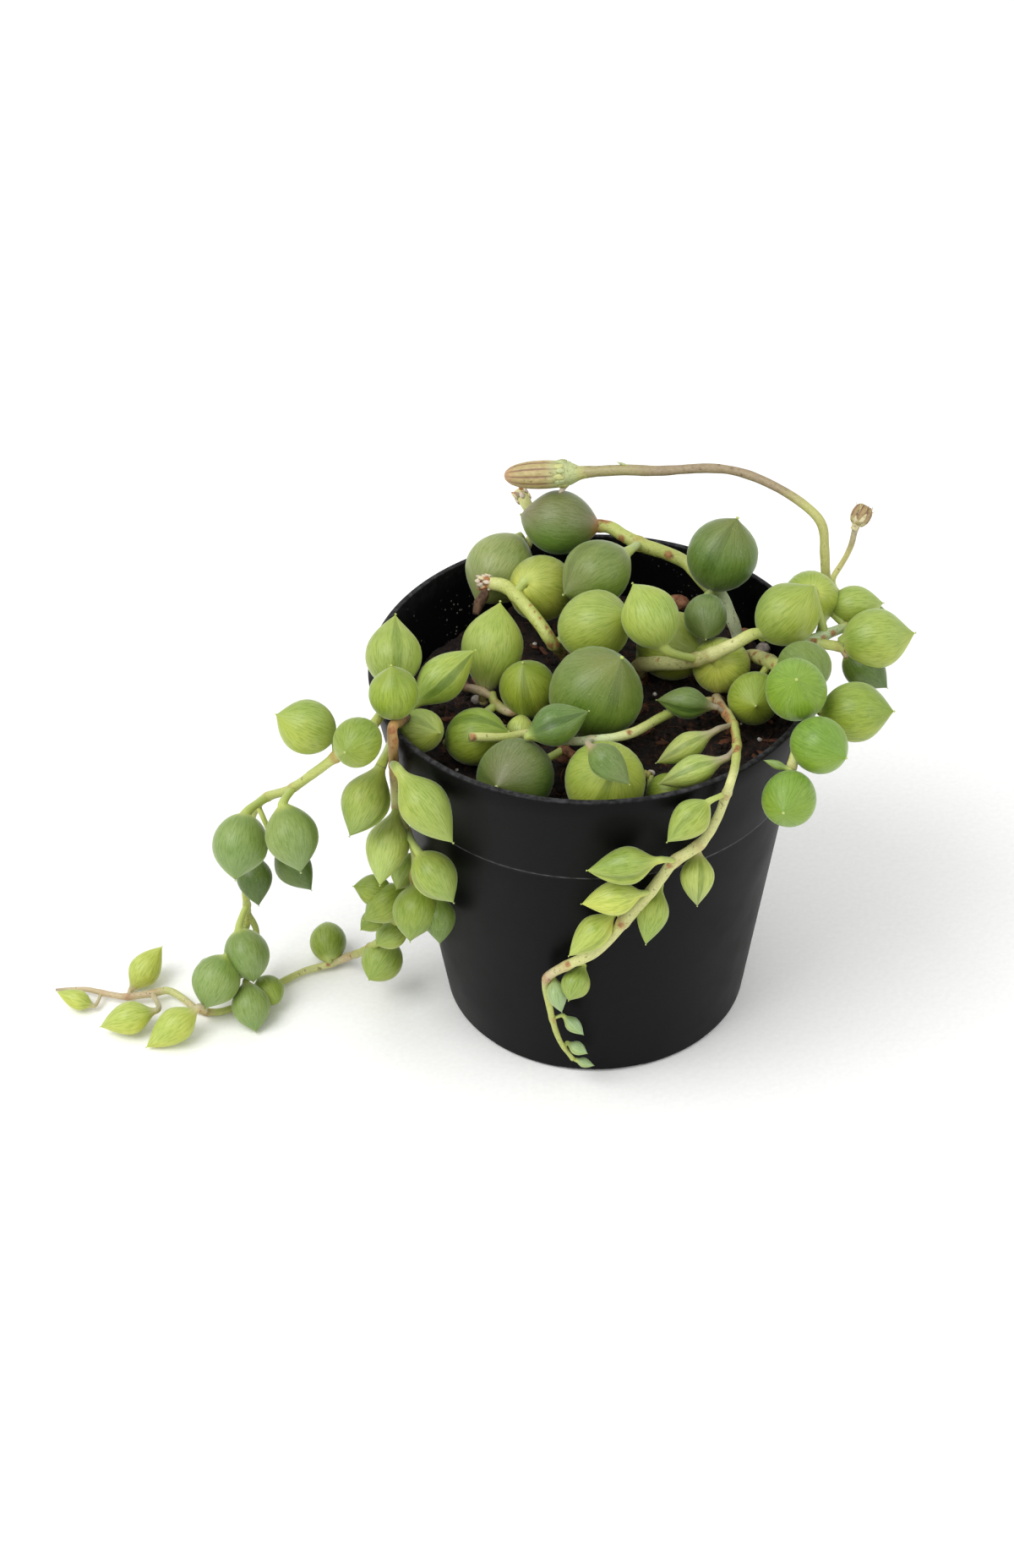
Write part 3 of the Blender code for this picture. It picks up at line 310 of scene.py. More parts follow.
# Stems: rows of pixel x, pixel y, rest, lift or height, radius in mm and the tone from there on,
# which fades into the next row's; a row without one keeps the last
STRANDS = {
    "strand_back": {
        "stems": [
            # The rows at 873, 754 and 865, 730 take a rind tone made paler as painted light, where the
            # leaves above shade the stem
            [(872, 774, AIR, 73.0, 1.1, "bark"), (873, 754, AIR, 75, 1.2, "teal_rind"),
             (865, 730, AIR, 79.5, 1.3, "teal_rind"), (852, 703, AIR, 84, 1.4, "blue_rind"),
             (835, 690, AIR, 85.5, 1.4, "rind"), (815, 668, AIR, 87, 1.4),
             (790, 655, AIR, 88.5, 1.4), (760, 645, AIR, 90, 1.4), (737, 633, AIR, 91, 1.35),
             (722, 624, AIR, 91.6, 1.25, "rind"), (704, 622, AIR, 91.8, 1.1, "rind")],
        ],
        "leaves": [
            leaf(661.5, 617.5, 38.5, 616, 612, AIR, 92.8, 1, 1.18, 1.22, tone="dusk", stalk="scar",
                 blush=0.55),
            leaf(706, 678, 38.5, 666, 706, AIR, 91.4, 1, 1.3, 1.18, tone="olive", line=60,
                 clear=0.35, stalk="rind", blush=0.2),
            leaf(855, 656, 42, 867, 616, AIR, 93.5, tone="dusk", line=-14, clear=0.4, blush=0.35),
            leaf(835, 730, 26, 833, 756, AIR, 88.2, tone="dusk", blush=0.1),
        ],
    },
    "strand_back_left": {
        "stems": [
            [(680, 790, AIR, 71.5, 1.2, "dark_bark"), (668, 776, AIR, 77, 1.2, "bark"),
             (652, 758, AIR, 83, 1.25, "rind"), (640, 740, AIR, 85.5, 1.3, "rind"),
             (620, 715, AIR, 87.5, 1.3), (600, 695, AIR, 88, 1.35, "rind"),
             (580, 690, AIR, 88, 1.35, "pale_rind"), (566, 688, AIR, 88, 1.4, "shred")],
            [(574, 695, AIR, 87.3, 0.75, "dark_bark"), (573, 704, AIR, 86, 1.0, "dark_bark"),
             (567, 714, AIR, 84.5, 1.15, "dark_bark"), (563, 727, AIR, 83, 0.6, "dark_bark")],
            [(622, 648, AIR, 85.6, 0.9, "rind"), (634, 622, AIR, 87.2, 1.0, "rind"),
             (625, 600, AIR, 91.6, 1.1, "pale_rind"), (617, 586, AIR, 93.2, 1.3, "pale_rind"),
             (614, 581, AIR, 93.7, 1.35, "cream")],
        ],
        "leaves": [
            leaf(591, 673, 40, 565, 715, AIR, 84.7, 1, 1.3, 1.2, tone="dull", blush=0.2),
            leaf(641, 696, 39, 665, 702, AIR, 85.5, -1, tone="yellow"),
            leaf(704, 740, 42.5, 742, 728, AIR, 88.2, 1, tone="fresh"),
        ],
    },
    "strand_middle": {
        "stems": [
            [(636, 846, AIR, 73.2, 1.1, "bark"), (632, 838, AIR, 75.6, 1.1, "bark"),
             (618, 838, AIR, 75.6, 1.05, "scar"), (602, 842, AIR, 74.6, 1.0, "pink_rind"),
             (586, 832, AIR, 75.5, 0.9, "rind"), (582, 820, AIR, 76.5, 0.8)],
            [(634, 842, AIR, 74.8, 1.0, "bark"), (655, 868, AIR, 74.4, 1.0),
             (672, 890, AIR, 74, 0.9), (700, 900, AIR, 74.6, 0.9, "scar"),
             (740, 908, AIR, 74, 0.8, "scar"), (770, 918, AIR, 74, 0.7, "rind")],
            [(547, 813, AIR, 76, 0.85, "bark"), (560, 815, AIR, 76.5, 0.95, "mauve"),
             (572, 819, AIR, 76.4, 0.85, "pink_rind"), (581, 824, AIR, 76.2, 0.7, "pink_rind")],
        ],
        "leaves": [
            leaf(583, 765, 37, 592, 712, AIR, 82, -1, 1.4, 1.75, tone="fresh", stalk="pink_rind"),
            leaf(625, 815, 34, 616, 788, SOIL, 2.2, tone="mid", line=-12, clear=0.5),
            leaf(705, 820, 55, 732, 782, AIR, 83.5, tone="olive", line=34, clear=0.35, blush=0.4),
            leaf(563, 872, 34, 601, 863, SOIL, 0.6, tone="mid", line=-48, clear=0.6),
            leaf(616, 865, 17, 619, 843, SOIL, 0.7, -1, 1.4, tone="pale", stalk="pink_rind"),
            leaf(610, 918, 45, 590, 928, SOIL, 0.5, tone="dusk", line=140, clear=0.4, blush=0.35),
            leaf(716, 925, 48, 728, 905, SOIL, 1.5, tone="fresh", line=15, clear=0.6),
            leaf(790, 940, 25, 812, 934, SOIL, 0.9, tone="mid"),
        ],
    },
    "strand_front": {
        "stems": [
            [(853, 829, AIR, 72.7, 1.1, "bark"), (848, 827, AIR, 75.2, 1.1, "pink_rind"),
             (855, 838, AIR, 78, 1.05, "pink_rind"), (867, 856, AIR, 81, 0.95, "rind"),
             (872, 880, AIR, 83.5, 0.85, "rind"), (870, 905, AIR, 85.5, 0.88, "rind"),
             (865, 924, AIR, 86.3, 0.85, "pale_rind"), (857, 947, WALL_SIDE, 2.4, 0.85),
             (847, 971, WALL_SIDE, 2.4, 0.9), (832, 995, WALL_SIDE, 2.6, 1.05, "pale_rind"),
             (815, 1008, WALL_SIDE, 3.0, 1.1, "pale_rind"), (795, 1022, WALL_SIDE, 3.0, 1.1),
             (769, 1056, WALL_SIDE, 3.0, 1.1), (738, 1091, WALL_SIDE, 3.0, 1.15),
             (704, 1126, WALL_SIDE, 3.0, 1.1), (675, 1140, WALL_SIDE, 3.0, 0.95, "pale_rind"),
             (650, 1154, WALL_SIDE, 3.0, 0.85, "pink_rind"), (646, 1168, WALL_SIDE, 3.0, 0.75, "rind"),
             (650, 1190, WALL_SIDE, 3.0, 0.65), (656, 1214, WALL_SIDE, 3.0, 0.6),
             (664, 1234, WALL_SIDE, 3.0, 0.5), (678, 1253, WALL_SIDE, 3.0, 0.45)],
            [(848, 830, AIR, 75.8, 1.0, "pink_rind"), (820, 832, AIR, 77.5, 1.0, "rind"),
             (797, 842, AIR, 79, 1.0), (780, 850, AIR, 80, 0.95, "green_rind"),
             (745, 868, AIR, 81.5, 0.95, "pale_rind"), (700, 876, AIR, 82, 0.9, "blue_rind"),
             (660, 876, AIR, 80.5, 0.85, "pink_rind"), (628, 868, AIR, 78.9, 0.85, "pale_rind"),
             (600, 872, AIR, 79.4, 0.9, "rind"), (556, 872, AIR, 81, 0.9, "pale_rind")],
        ],
        "leaves": [
            leaf(657, 858, 25, 697, 842, AIR, 85.9, 1, 1.6, 1.4, tone="slate", line=-6, clear=0.7,
                 pinch=0.07),
            leaf(717, 900, 20, 746, 927, AIR, 89.8, 1, 1.6, 1.3, tone="slate", stalk="mauve",
                 blush=0.15),
            leaf(813, 832, 19, 777, 827, AIR, 81.5, 1, 1.9, tone="slate", line=-28, clear=0.8,
                 stalk="mauve", blush=0.15, pinch=0.07),
            leaf(814, 883, 17, 777, 904, AIR, 81.5, 1, 2.0, 2.4, tone="pale_fresh", line=10,
                 clear=0.6, stalk="mauve", blush=0.3, joint=(865, 859)),
            leaf(822, 912, 19, 780, 929, AIR, 82.3, 1, 2.0, 2.2, tone="pale_fresh", line=14,
                 clear=0.6, stalk="mauve", blush=0.2, joint=(871, 881)),
            leaf(818, 968, 22, 789, 996, WALL_SIDE, 0.6, 1, 1.6, 1.25, tone="fresh", line=8, clear=0.35),
            leaf(825, 1037, 20, 824, 1072, WALL_SIDE, 0.9, 1, 1.7, tone="pale_fresh", line=-16,
                 clear=0.6, stalk="pink_rind", blush=0.2),
            leaf(742, 1024, 23, 695, 1032, WALL_SIDE, 0.8, 1, 1.8, tone="fresh", line=-50,
                 clear=0.5, pinch=0.1),
            leaf(729, 1062, 21.5, 688, 1069, WALL_SIDE, 0.6, 1, 1.7, 1.5, tone="lime"),
            leaf(773, 1080, 18.5, 763, 1117, WALL_SIDE, 0.6, 1, 1.8, 1.9, tone="fresh"),
            leaf(703, 1103, 20, 673, 1131, WALL_SIDE, 0.6, 1, 1.8, tone="lime", line=-42,
                 clear=0.35),
            leaf(681, 1164, 17, 672, 1183, WALL_SIDE, 0.6, 1, 1.3, 1.45, tone="fresh"),
            leaf(659, 1175, 12.5, 664, 1198, WALL_SIDE, 2.4, 1, 1.7, tone="teal"),
            leaf(678, 1212, 9, 691, 1224, WALL_SIDE, 1.6, 1, 1.8, tone="teal"),
            leaf(683, 1240, 8, 695, 1246, WALL_SIDE, 1.6, 1, 1.8, tone="teal"),
            leaf(691, 1257, 6, 703, 1261, WALL_SIDE, 2.0, 1, 1.8, tone="teal"),
        ],
    },
    "strand_right": {
        "stems": [
            [(757, 798, AIR, 71.9, 1.6, "bark"), (758, 787, AIR, 76, 1.65, "stalk_tan"),
             (782, 785, AIR, 80, 1.5, "pale_rind"), (810, 784, AIR, 82, 1.4, "pale_rind"),
             (840, 775, AIR, 85.3, 1.35), (868, 763, AIR, 88, 1.3),
             (893, 750, AIR, 89.5, 1.15, "rind"), (920, 752, AIR, 87.5, 1.1, "blue_rind"),
             (945, 757, AIR, 86.3, 1.1), (962, 756, AIR, 86.3, 1.1),
             (987, 747, AIR, 86.5, 1.0, "blue_rind"), (1003, 741, AIR, 86.5, 0.9, "rind")],
            [(948, 757, AIR, 86.3, 0.9, "blue_rind"), (975, 762, AIR, 85.9, 1.0, "rind"),
             (995, 766, AIR, 85.3, 0.9, "rind"), (1003, 776, AIR, 83.6, 0.7, "pink_rind")],
        ],
        "leaves": [
            leaf(769, 730, 34, 751, 689, AIR, 95.2, -1, tone="fresh"),
            leaf(795, 764, 40, 830, 780, SOIL, 0.5, tone="yellow"),
            leaf(853, 787, 34, 860, 790, AIR, 79.3, -1, 1.15, tone="pale"),
            leaf(932, 726, 37.5, 962, 697, AIR, 92, 1, 1.25, tone="fresh"),
            leaf(960, 708, 33, 963, 714, AIR, 89.5, -1, 1.1, tone="fresh", line=-58, clear=0.3,
                 pinch=0.06),
            leaf(1010, 717, 25, 1046, 713, AIR, 88, tone="fresh"),
            leaf(1036, 755, 35, 1083, 751, AIR, 87, tone="fresh"),
            # This leaf takes the darker green as painted shade
            leaf(1022, 790, 24, 1051, 813, AIR, 81, tone="shade"),
            leaf(1029, 726, 15, 1054, 728, AIR, 85, 1, 1.6, tone="mid"),
        ],
    },
    "strand_right_low": {
        "stems": [
            [(879, 788, AIR, 73.0, 1.4, "bark"), (887, 777, AIR, 77, 1.5, "stalk_tan"),
             (905, 780, AIR, 81, 1.45, "pale_rind"), (925, 792, AIR, 83, 1.3, "rind"),
             (945, 812, AIR, 84.5, 1.1), (958, 840, AIR, 86.0, 0.95), (955, 862, AIR, 86.6, 0.9),
             (944, 885, AIR, 86.2, 0.95), (938, 903, AIR, 84, 1.0, "pale_rind"),
             (935, 920, AIR, 81, 0.8)],
            [(957, 836, AIR, 86.1, 0.8, "rind"), (971, 838, AIR, 86.3, 0.8),
             (986, 841, AIR, 86.2, 0.75)],
        ],
        "leaves": [
            leaf(952, 789, 31, 975, 806, AIR, 89, tone="olive"),
            leaf(942, 816, 37, 936, 809, AIR, 92.5, tone="bright"),
            leaf(892, 826, 31, 890, 838, SOIL, 3.4, tone="mid"),
            leaf(1012, 842, 35.5, 1057, 841, AIR, 86, tone="mid"),
            leaf(970, 882, 34, 997, 897, AIR, 87, tone="bright"),
            leaf(934, 945, 33, 922, 963, AIR, 80, tone="bright"),
            leaf(920, 905, 5, 904, 899, AIR, 84.5, 1, 3.0, tone="blue"),
        ],
    },
    "strand_left_long": {
        "stems": [
            # The first three rows take the dark bark tone as painted shadow, to read as the shade of the
            # leaf at 498, 864
            [(500, 846, AIR, 70, 1.1, "dark_bark"), (490, 843, AIR, 76, 1.05, "dark_bark"),
             (477, 851, AIR, 84, 1.0, "dark_bark"), (465, 860, AIR, 87.3, 1.0, "cork"),
             (465, 882, WALL_SIDE, 2.2, 0.97, "cork"), (466, 905, WALL_SIDE, 1.8, 0.97, "cork"),
             (468, 940, WALL_SIDE, 2.0, 0.95, "pale_rind"), (472, 965, AIR, 59.5, 0.9),
             (484, 990, AIR, 54.5, 0.9, "rind"), (492, 1012, AIR, 50.5, 0.9),
             (488, 1045, AIR, 42.5, 0.9), (474, 1080, AIR, 32, 0.85), (455, 1108, AIR, 21, 0.85),
             (432, 1124, AIR, 10.5, 0.85, "rind"), (412, 1132, TABLE, 3.4, 0.9, "pink_rind"),
             (385, 1142, TABLE, 1.6, 0.8, "pale_rind"), (360, 1149, TABLE, 1.2, 0.75),
             (335, 1161, TABLE, 1.1, 0.75, "rind"), (310, 1176, TABLE, 1.1, 0.75),
             (282, 1190, TABLE, 1.1, 0.75), (258, 1197, TABLE, 1.1, 0.75, "rind"),
             (234, 1194, TABLE, 1.3, 0.75, "pink_rind"), (215, 1180, TABLE, 1.8, 0.75, "pale_rind"),
             (198, 1172, TABLE, 2.6, 0.8, "pale_rind"), (178, 1176, TABLE, 2.6, 0.75, "pink_rind"),
             (150, 1179, TABLE, 2.4, 0.7, "pink_rind"), (128, 1176, TABLE, 2.2, 0.65),
             (105, 1171, TABLE, 2.0, 0.55), (85, 1170, TABLE, 1.8, 0.4),
             (66, 1171, TABLE, 1.6, 0.25, "mauve")],
        ],
        "leaves": [
            leaf(466, 820, 30, 466, 789, AIR, 92.3, tone="mid", line=8, clear=0.2, blush=0.2),
            leaf(523, 803, 27, 561, 768, AIR, 84.5, -1, 1.9, tone="fresh", line=14, clear=0.8),
            leaf(498, 864, 26.5, 522, 867, AIR, 79, tone="pale_fresh", line=-30, clear=0.4, pinch=0.03),
            leaf(433, 948, 29, 415, 990, AIR, 68, 1, 1.5, 1.6, tone="fresh", line=-62, clear=0.6,
                 pinch=0.04, joint=(464, 876)),
            leaf(502, 953, 30, 535, 998, WALL_SIDE, 0.6, 1, 1.6, 1.75, tone="fresh",
                 joint=(468, 906)),
            leaf(459, 1000, 25, 448, 1047, WALL_SIDE, 3.0, 1, 1.7, 1.75, tone="pale_fresh"),
            leaf(514, 1035, 27, 537, 1068, WALL_SIDE, 0.6, 1, 1.4, 1.15, tone="fresh", line=64,
                 clear=0.4, pinch=0.05),
            leaf(492, 1077, 27, 483, 1114, AIR, 41, 1, 1.4, tone="mid", line=95, clear=0.3),
            leaf(458, 1068, 23, 431, 1090, AIR, 37, 1, 1.4, tone="mid"),
            leaf(443, 1053, 18.5, 418, 1047, AIR, 39, 1, 1.35, tone="mid"),
            leaf(463, 1105, 18, 445, 1118, AIR, 25, 1, 1.3, tone="fresh"),
            leaf(519, 1085, 20, 522, 1117, WALL_SIDE, 0.6, 1, 1.5, tone="olive"),
            leaf(452, 1136, 24, 438, 1160, AIR, 11, tone="fresh"),
            leaf(481, 1030, 19, 470, 1052, AIR, 44, 1, 1.4, tone="fresh"),
            leaf(441, 1089, 13, 427, 1099, AIR, 31, 1, 1.6, tone="mid"),
            leaf(388, 1114, 22, 386, 1092, TABLE, 0.6, -1, 1.15, tone="mid"),
            leaf(208, 1213, 21, 174, 1240, TABLE, 0.7, 1, 1.7, tone="lime", stalk="pink_rind"),
            leaf(154, 1204, 20, 118, 1214, TABLE, 0.6, 1, 1.7, tone="lime", stalk="pink_rind"),
            leaf(171, 1148, 18.5, 191, 1119, TABLE, 0.8, -1, 1.6, tone="lime", stalk="pink_rind"),
            leaf(93, 1183, 12, 67, 1173, TABLE, 0.6, 1, 1.7, tone="lime", stalk="pink_rind"),
        ],
    },
    "strand_left_short": {
        "stems": [
            [(488, 818, AIR, 70, 1.1, "dark_bark"), (478, 816, AIR, 77, 1.1, "bark"),
             (462, 828, AIR, 83.5, 1.1, "rind"), (450, 846, AIR, 86.2, 1.0),
             (438, 862, AIR, 85.8, 1.0), (420, 880, AIR, 83, 1.0), (398, 895, AIR, 80, 1.0),
             (375, 912, AIR, 76, 0.95), (345, 933, AIR, 69, 0.9), (318, 942, AIR, 63, 0.9),
             (302, 956, AIR, 57, 0.9), (292, 990, AIR, 46, 0.9), (289, 1030, AIR, 33, 0.85),
             (291, 1060, AIR, 24, 0.8), (293, 1080, AIR, 17, 0.8), (291, 1098, AIR, 12.5, 0.7)],
            [(293, 1080, AIR, 17, 0.7, "rind"), (303, 1100, AIR, 12, 0.7),
             (303, 1130, AIR, 6, 0.7), (302, 1152, AIR, 5, 0.7)],
        ],
        "leaves": [
            leaf(466, 776, 33, 465, 727, AIR, 88.5, -1, 1.5, tone="fresh", line=8, clear=0.5),
            leaf(363, 860, 32, 327, 846, AIR, 84, tone="fresh"),
            leaf(423, 878, 29.5, 410, 893, AIR, 88, tone="mid", line=180, clear=0.25),
            leaf(284, 999, 33, 276, 1041, AIR, 58, 1, 1.3, tone="blue"),
            leaf(345, 989, 31, 357, 1032, AIR, 64, 1, 1.4, tone="blue", line=-60, clear=0.4),
            # These two leaves take the darker green as painted shade
            leaf(301, 1038, 21, 305, 1072, AIR, 38, 1, 1.5, tone="shade"),
            leaf(347, 1025, 22, 369, 1053, AIR, 50, -1, 1.5, tone="shade"),
            leaf(292, 1129, 27.5, 302, 1161, AIR, 14, 1, 1.2, tone="blue", line=62, clear=0.4,
                 pinch=0.05),
            leaf(256, 1160, 28, 241, 1193, AIR, 10.5, 1, 1.25, tone="blue"),
            leaf(297, 1190, 23, 304, 1221, TABLE, 0.4, 1, 1.4, tone="blue"),
            leaf(249, 1147, 14, 237, 1136, AIR, 4.6, -1, 1.6, tone="blue"),
            leaf(318, 1172, 18, 330, 1185, TABLE, 1.0, 1, 1.2, tone="mid"),
        ],
    },
}


def strip(start, end, count):
    """Scars in a row from one to another, close enough to join into a long one."""
    return [tuple(scar) for scar in np.linspace(start, end, count)]


# Corky scars on the stems, where leaves have dropped: pixel and radius in mm
SCARS = {
    "strand_back": [(735, 638, 1.1), (709, 614, 1.7), (717, 616, 1.5), (791, 657, 1.2)],
    "strand_back_left": [(573, 690, 1.4), (628, 716, 0.45), (633, 723, 0.35), (639, 731, 0.5),
                         (647, 742, 0.5), (652, 748, 0.6), (657, 754, 0.7), (626, 738, 0.4),
                         (633, 748, 0.45), (640, 757, 0.5), (651, 764, 1.0), (660, 762, 0.9),
                         (631, 655, 0.9), (617, 583, 0.35)],
    "strand_middle": [(610, 838, 1.0), (628, 836, 1.0)],
    "strand_front": [*strip((848, 830, 1.3), (859, 847, 1.1), 10),
                     *strip((860, 848, 1.1), (868, 878, 0.6), 16),
                     *strip((874, 883, 0.8), (870, 889, 0.7), 4),
                     (558, 872, 1.3), (745, 866, 0.7), (792, 1024, 0.8), (735, 1094, 0.7),
                     (672, 1141, 0.8)],
    "strand_right": [(752, 794, 1.2), (764, 795, 0.9), (778, 781, 0.6), (813, 782, 0.5),
                     (963, 758, 0.9), (975, 754, 0.8), (986, 749, 0.9), (1001, 770, 0.6)],
    "strand_right_low": [(886, 778, 1.2), (893, 772, 0.8), (899, 783, 0.7), (908, 776, 0.6),
                         (914, 787, 0.6)],
    "strand_left_long": [(464, 864, 1.1), (467, 876, 0.8), (464, 886, 0.6), (466, 902, 1.2),
                         (415, 1131, 0.6), (388, 1141, 0.7), (236, 1195, 0.5)],
    "strand_left_short": [(301, 956, 0.6)],
}

# The flower's stalk and the thin one: rows as for the stems
FLOWER_STALK = [
    (970, 750, AIR, 84.7, 0.8, "green_rind"), (973, 738, AIR, 82.8, 0.75), (978, 722, AIR, 82.7, 0.8),
    (982, 709, AIR, 84.6, 0.85), (980, 692, AIR, 88.0, 0.9, "stalk_green"),
    (977, 676, AIR, 91.2, 0.95), (976, 655, AIR, 95, 0.95),
    (973, 622, AIR, 100.5, 0.95, "stalk_green"), (955, 600, AIR, 103.5, 0.9),
    (920, 577, AIR, 105.8, 0.9, "stalk"), (880, 560, AIR, 107, 0.92), (840, 554, AIR, 107.2, 0.95),
    (780, 557, AIR, 106, 1.02, "stalk"), (740, 556, AIR, 105, 1.1, "stalk_olive"),
    (700, 558, AIR, 103.9, 1.22, "stalk_olive"), (684, 559, AIR, 103.4, 1.3, "stalk_green"),
]
BUD_STALK = [
    (996, 705, AIR, 87.2, 0.7, "pale_rind"), (988, 696, AIR, 88.7, 0.6), (986, 684, AIR, 90.8, 0.58),
    (996, 667, AIR, 93.8, 0.57, "stalk_tan"), (1003, 655, AIR, 96.2, 0.57, "stalk_tan"),
    (1008, 643, AIR, 98.4, 0.58, "stalk_olive"), (1011, 630, AIR, 100.5, 0.6, "stalk_pale"),
    (1013, 623, AIR, 101.8, 0.72, "stalk_pale"),
]

# The buds: foot and tip as pixel and height, and greatest radius, in mm
FLOWER_BUD = ((681, 560, 103.3), (597, 563, 101.5), 2.75)
SMALL_BUD = ((1014, 619, 102.5), (1026, 597, 105.6), 2.0)

# The green cup of the flower and the collar of the small bud: distance from the foot and radius
CUP_LENGTH = 3.2
CUP = [(-2.6, 1.08), (-1.6, 1.2), (-0.8, 1.45), (0.0, 1.85), (0.8, 2.25), (1.6, 2.5), (2.4, 2.66),
       (CUP_LENGTH - GAP, 2.6), (CUP_LENGTH - GAP, 1.2)]
COLLAR = [(-1.5, 0.62), (-1.1, 0.68), (-0.6, 0.76), (-0.2, 1.0), (0.1, 1.3), (0.3, 1.35)]

# The buds' outlines: shares of their length, and of their greatest radius there
BUD_SHARES = np.array([0.0, 0.03, 0.12, 0.25, 0.4, 0.55, 0.68, 0.79, 0.88, 0.94, 0.98, 1.0])
BUD_WIDTHS = np.array([0.9, 0.99, 1.02, 1.05, 1.05, 1.01, 0.93, 0.81, 0.66, 0.49, 0.32, 0.12])
DRY_SHARES = np.array([-0.04, 0.0, 0.08, 0.2, 0.4, 0.6, 0.76, 0.88, 0.94, 0.95])
DRY_WIDTHS = np.array([0.3, 0.55, 0.78, 0.91, 0.97, 0.95, 0.86, 0.68, 0.45, 0.15])

# Small scales and torn fibres: rings and points round each, and how thick they are for their width
SCALE_RINGS = 7
SCALE_SIDES = 8
SCALE_THICKNESS = 0.28
INNER_SCALES = 9
OUTER_SCALES = 14
DRY_SCALES = 10
TIP_SCALES = 5
OUTER_TONES = ("calyx", "pale_rind", "calyx", "stalk_green")
DRY_TONES = ("bud_rib", "dry_bud", "bud_groove")
SHREDS_ROUND = 13
SHRED_TONES = ("shred", "cream", "mauve", "shred", "scar")

# Stones and bark in the soil: name, pixel, radii in mm, slot and material
STONES = [
    ("pumice_large", 801, 713, (2.7, 1.9, 1.6), "pumice", "pumice"),
    ("pumice_small", 881, 750, (1.6, 1.4, 1.2), "pumice", "pumice"),
    ("stone_grey", 903, 768, (1.5, 1.6, 1.3), "grey_stone", "grit"),
    ("stone_left", 566, 828, (1.5, 1.2, 1.1), "grey_stone", "grit"),
    ("bark_front", 672, 898, (2.2, 1.5, 1.0), "bark_brown", "bark"),
    ("perlite_front", 770, 915, (0.9, 0.8, 0.7), "perlite", "perlite"),
]

# Loose bits on the soil: piece, slot, material, the setting that counts them, least radii in mm
# and what chance adds to them, number of draws and their power, lift as a share of the last
# radius, greatest lean in radians, points round each, and how far they are moved in and out
Bits = namedtuple("Bits", "piece slot material count least more draws power lift lean sides rough")
BITS = (
    Bits("peat_crumbs", "peat_soil", "peat", "crumbs", (0.35, 0.28, 0.21), (0.75, 0.6, 0.45),
         1, 2, 1 / 3, 1.0, 6, 0.5),
    Bits("bark_chips", "bark_brown", "bark", "chips", (1.3, 0.45, 0.22), (1.6, 0.4, 0.2),
         3, 1, 0.7, 0.35, 6, 0.4),
    Bits("perlite_grains", "perlite", "perlite", "grains", (0.25, 0.225, 0.2), (0.45, 0.405, 0.36),
         1, 2, 0.625, 1.0, 7, 0.35),
)


def linear(colour):
    """Linear light from an sRGB hex value."""
    parts = [int(colour[k:k + 2], 16) / 255 for k in (1, 3, 5)]
    return tuple(c / 12.92 if c <= 0.04045 else ((c + 0.055) / 1.055) ** 2.4 for c in parts)


def unit(way):
    """A vector, or each row of an array, scaled to length one."""
    return way / np.maximum(np.linalg.norm(way, axis=-1, keepdims=True), SHORTEST)


# Places from the picture

def view_axes():
    """The picture's right and up and the way back to the viewer, and where the viewer is."""
    right = np.array([1.0, 0.0, 0.0])
    up = np.array([0.0, math.sin(VIEW_ELEVATION), math.cos(VIEW_ELEVATION)])
    back = np.array([0.0, -math.cos(VIEW_ELEVATION), math.sin(VIEW_ELEVATION)])
    turn, lean = math.cos(VIEW_ROLL), math.sin(VIEW_ROLL)
    right, up = right * turn - up * lean, right * lean + up * turn
    offset = VIEW_SHIFT * VIEW_DISTANCE / FOCAL_LENGTH
    eye = VIEW_TARGET + back * VIEW_DISTANCE - right * offset[0] - up * offset[1]
    return right, up, back, eye


RIGHT, UP, BACK, EYE = view_axes()


def from_photo(x, y, height):
    """The place at that height, in mm, that the viewer sees at a pixel."""
    across, down = (np.array([x, y]) - PICTURE_CENTRE) / FOCAL_LENGTH
    way = unit(RIGHT * across - UP * down - BACK)
    return EYE + way * ((height - EYE[2]) / way[2])


def pixel_size(place):
    """Millimetres that one pixel covers at a place."""
    return float((EYE - place) @ BACK) / FOCAL_LENGTH


def wall_radius(height):
    """Outer radius of the pot at a height: the body's taper, then the band's."""
    if height < BAND_FOOT:
        return BASE_RADIUS + (BAND_RADIUS - BASE_RADIUS) * max(height, 0.0) / BAND_FOOT
    share = min((height - BAND_FOOT) / BAND_HEIGHT, 1.0)
    return BAND_RADIUS + (RIM_RADIUS - BAND_RADIUS) * share


def soil_height(x, y):
    """Top of the soil: a slope, a drop with the square of the reach, and two waves of bumps."""
    reach = np.hypot(x, y) / (RIM_RADIUS - WALL)
    (pitch_x, start_x), (pitch_y, start_y) = CROSSED_WAVES
    share, slant_x, slant_y = SLANTED_WAVE
    bumps = (np.sin(pitch_x * x + start_x) * np.cos(pitch_y * y + start_y)
             + share * np.sin(slant_x * x - slant_y * y))
    slope = SOIL_SLOPE[0] * x + SOIL_SLOPE[1] * y
    return SOIL_HEIGHT + slope - SOIL_EDGE_DROP * reach ** 2 + SOIL_BUMP * bumps


def clearance(place, rest):
    """Distance of a place from the soil, the wall or the table."""
    if rest == SOIL:
        return place[2] - soil_height(place[0], place[1])
    if rest == WALL_SIDE:
        return math.hypot(place[0], place[1]) - wall_radius(place[2])
    return place[2]


def rest_on(x, y, rest, distance):
    """The first place on a pixel's line of sight at that distance from what it rests on."""
    if rest == AIR:
        return from_photo(x, y, distance)
    height, gap = SEARCH_START, clearance(from_photo(x, y, SEARCH_START), rest)
    while gap > distance:
        lower = clearance(from_photo(x, y, height - SEARCH_STEP), rest)
        if lower >= gap:
            break
        height -= SEARCH_STEP
        gap = lower
    return from_photo(x, y, height)


